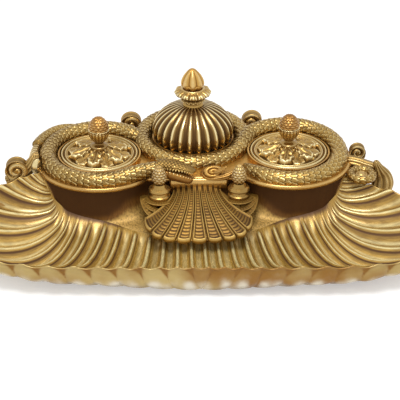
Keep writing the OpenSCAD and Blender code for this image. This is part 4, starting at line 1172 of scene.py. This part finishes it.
def boss_shape(u, v):
    _, r, up = along_rows(BOSS, v * 6).T
    return *about(LOOP_AT, r, u * TURN), LOOP_Z + up


def outer_tail():
    """The thin end of the tail, lying along the outside of the left coil."""
    a = linspace(166, 96, 24)
    sunk = 2 * ramp(130, 96, a)
    x, y = polar(LEFT, 54.5 - sunk, a)
    return stack([x, y, DECK_Z + 6.6 - sunk, mix(1.2, 4.8, ramp(98, 140, a))], 1)


def leaf_band_shape(u, v):
    _, r, up = along_rows(LEAF_BAND, v * 10).T
    stripe = abs(cos(pi * u * 9))
    face = ramp(0.05, 0.15, v) * (1 - ramp(0.7, 0.8, v)) * ramp(52, 54, r)
    x, y = polar(LEFT, r - 0.9 * (1 - stripe ** 0.6) * face, 163 + 35 * u)
    return x, y, DECK_Z + up, 1.2 * (0.5 - stripe)


def ear_relief(k, a):
    degrees = np.degrees(a)
    beads = beading(k * 2) * bell(degrees, 90, 26)
    edge = bell(degrees, 24, 16) + bell(degrees, 156, 16)
    return 0.3 * beads + 0.6 * edge, 0.35 - 0.5 * beads - 0.9 * edge


def ear_rows(sign, n, rx, ry):
    """A rib that curls round the foot of a post and closes to a point at both ends."""
    for k, b in enumerate(radians(linspace(-90 - 62 * sign, -90 + 110 * sign, 9))):
        section = (0.1, 0.1) if k in (0, 8) else (2.7, 1.2)
        at = SHIFT + POST_X * sign + rx * cos(b), POST_Y - WELL_Y + ry * sin(b)
        yield k, *at, 33.2 - 3.0 * n * abs(sin(b)), *section


make_piece("tail_loop_scales", 160, 64, tail_loop_shape, SCALY, "tail_loop_right", close_ends=False)
make_piece("tail_loop_boss", 72, 42, boss_shape, PALE, "", "pale_gilt")
tail = partial(serpent_shape, measured(outer_tail()), 3.2, 8, 0.9)
make_piece("serpent_tail_left", 300, 40, tail, SCALY)
make_piece("striped_leaf_band", 144, 60, leaf_band_shape, GILT, "leaf_band_left")
for side, sign, _ in SIDES:
    for n, radii in enumerate(((10.2, 11.0), (11.8, 17.0), (13.0, 23.0))):
        rib = drawn_bar(list(ear_rows(sign, n, *radii)), relief=ear_relief)
        make_piece("shell_ear_%s_%d" % (side, n + 1), 130, 32, rib, SHELL_GOLD)

# ---- camera, floor and light
CAMERA_AT, CAMERA_AIM = Vector((-45.643, -1123.819, 669.657)) * MM, Vector((4.407, 12.6, 16.248)) * MM
BACKGROUND_SEEN, BACKGROUND_LIGHT, FLOOR_GLOW = 1.0, 0.55, 0.42
WHITE = (1, 1, 1, 1)


def stand_up(data, place, aim, roll):
    """Sets a camera or a lamp in its place, looking at its aim."""
    made = bpy.data.objects.new(data.name, data)
    scene.collection.objects.link(made)
    turned = (aim - place).to_track_quat("-Z", "Y").to_matrix() @ Matrix.Rotation(roll, 3, "Z")
    made.matrix_world = Matrix.Translation(place) @ turned.to_4x4()
    return made


def seen_rays(tree):
    """1 for rays that look at the background, straight or in metal and glass."""
    path = tree.nodes.new("ShaderNodeLightPath").outputs
    both = math_node(tree, "MAXIMUM", path["Is Camera Ray"], path["Is Glossy Ray"])
    return math_node(tree, "MAXIMUM", both, path["Is Transmission Ray"])


def make_floor():
    bpy.ops.mesh.primitive_plane_add(size=6)
    floor = bpy.context.object
    floor.name = "floor"
    m, tree, shader = new_material("pale_floor", {"Base Color": (0.8, 0.8, 0.8, 1), "Roughness": 0.9})
    glow = times(tree, seen_rays(tree), FLOOR_GLOW)
    feed(shader, {"Specular IOR Level": 0.0, "Emission Color": WHITE, "Emission Strength": glow})
    floor.data.materials.append(m)


def make_world():
    world = bpy.data.worlds.new("studio")
    world.use_nodes = True
    tree = world.node_tree
    extra = times(tree, seen_rays(tree), BACKGROUND_SEEN - BACKGROUND_LIGHT)
    strength = plus(tree, extra, BACKGROUND_LIGHT)
    feed(tree.nodes["Background"].inputs, {"Color": WHITE, "Strength": strength})
    return world


scene = bpy.context.scene
camera = bpy.data.cameras.new("camera")
camera.sensor_width = 36
camera.lens = 138.828
camera.clip_end = 20
scene.camera = stand_up(camera, CAMERA_AT, CAMERA_AIM, radians(0.408))
make_floor()
scene.world = make_world()
softbox = bpy.data.lights.new("overhead_softbox", "AREA")
softbox.shape = "SQUARE"
softbox.size = 0.6
softbox.energy = 10
stand_up(softbox, Vector((-0.05, -0.32, 1.35)), Vector((0, 0, 0.03)), 0)
scene.view_settings.view_transform = "Standard"

# ---- every node that keeps its own shape gets the finish of its slot
FINISHES = {
    "gilt_bronze": GILT, "burnished_bronze": DARK_WALL, "red_gold": RED_GOLD, "pale_gilt": PALE,
    "plain_brass": PLAIN, "steel": STEEL, "glass": GLASS, "baize": BAIZE,
}
for row in frame["record"]["subparts"]:
    piece = bpy.data.objects.get(row["node"])
    if piece and piece.type == "MESH":
        for slot in piece.material_slots:
            slot.material = FINISHES[row["material_slot"]]
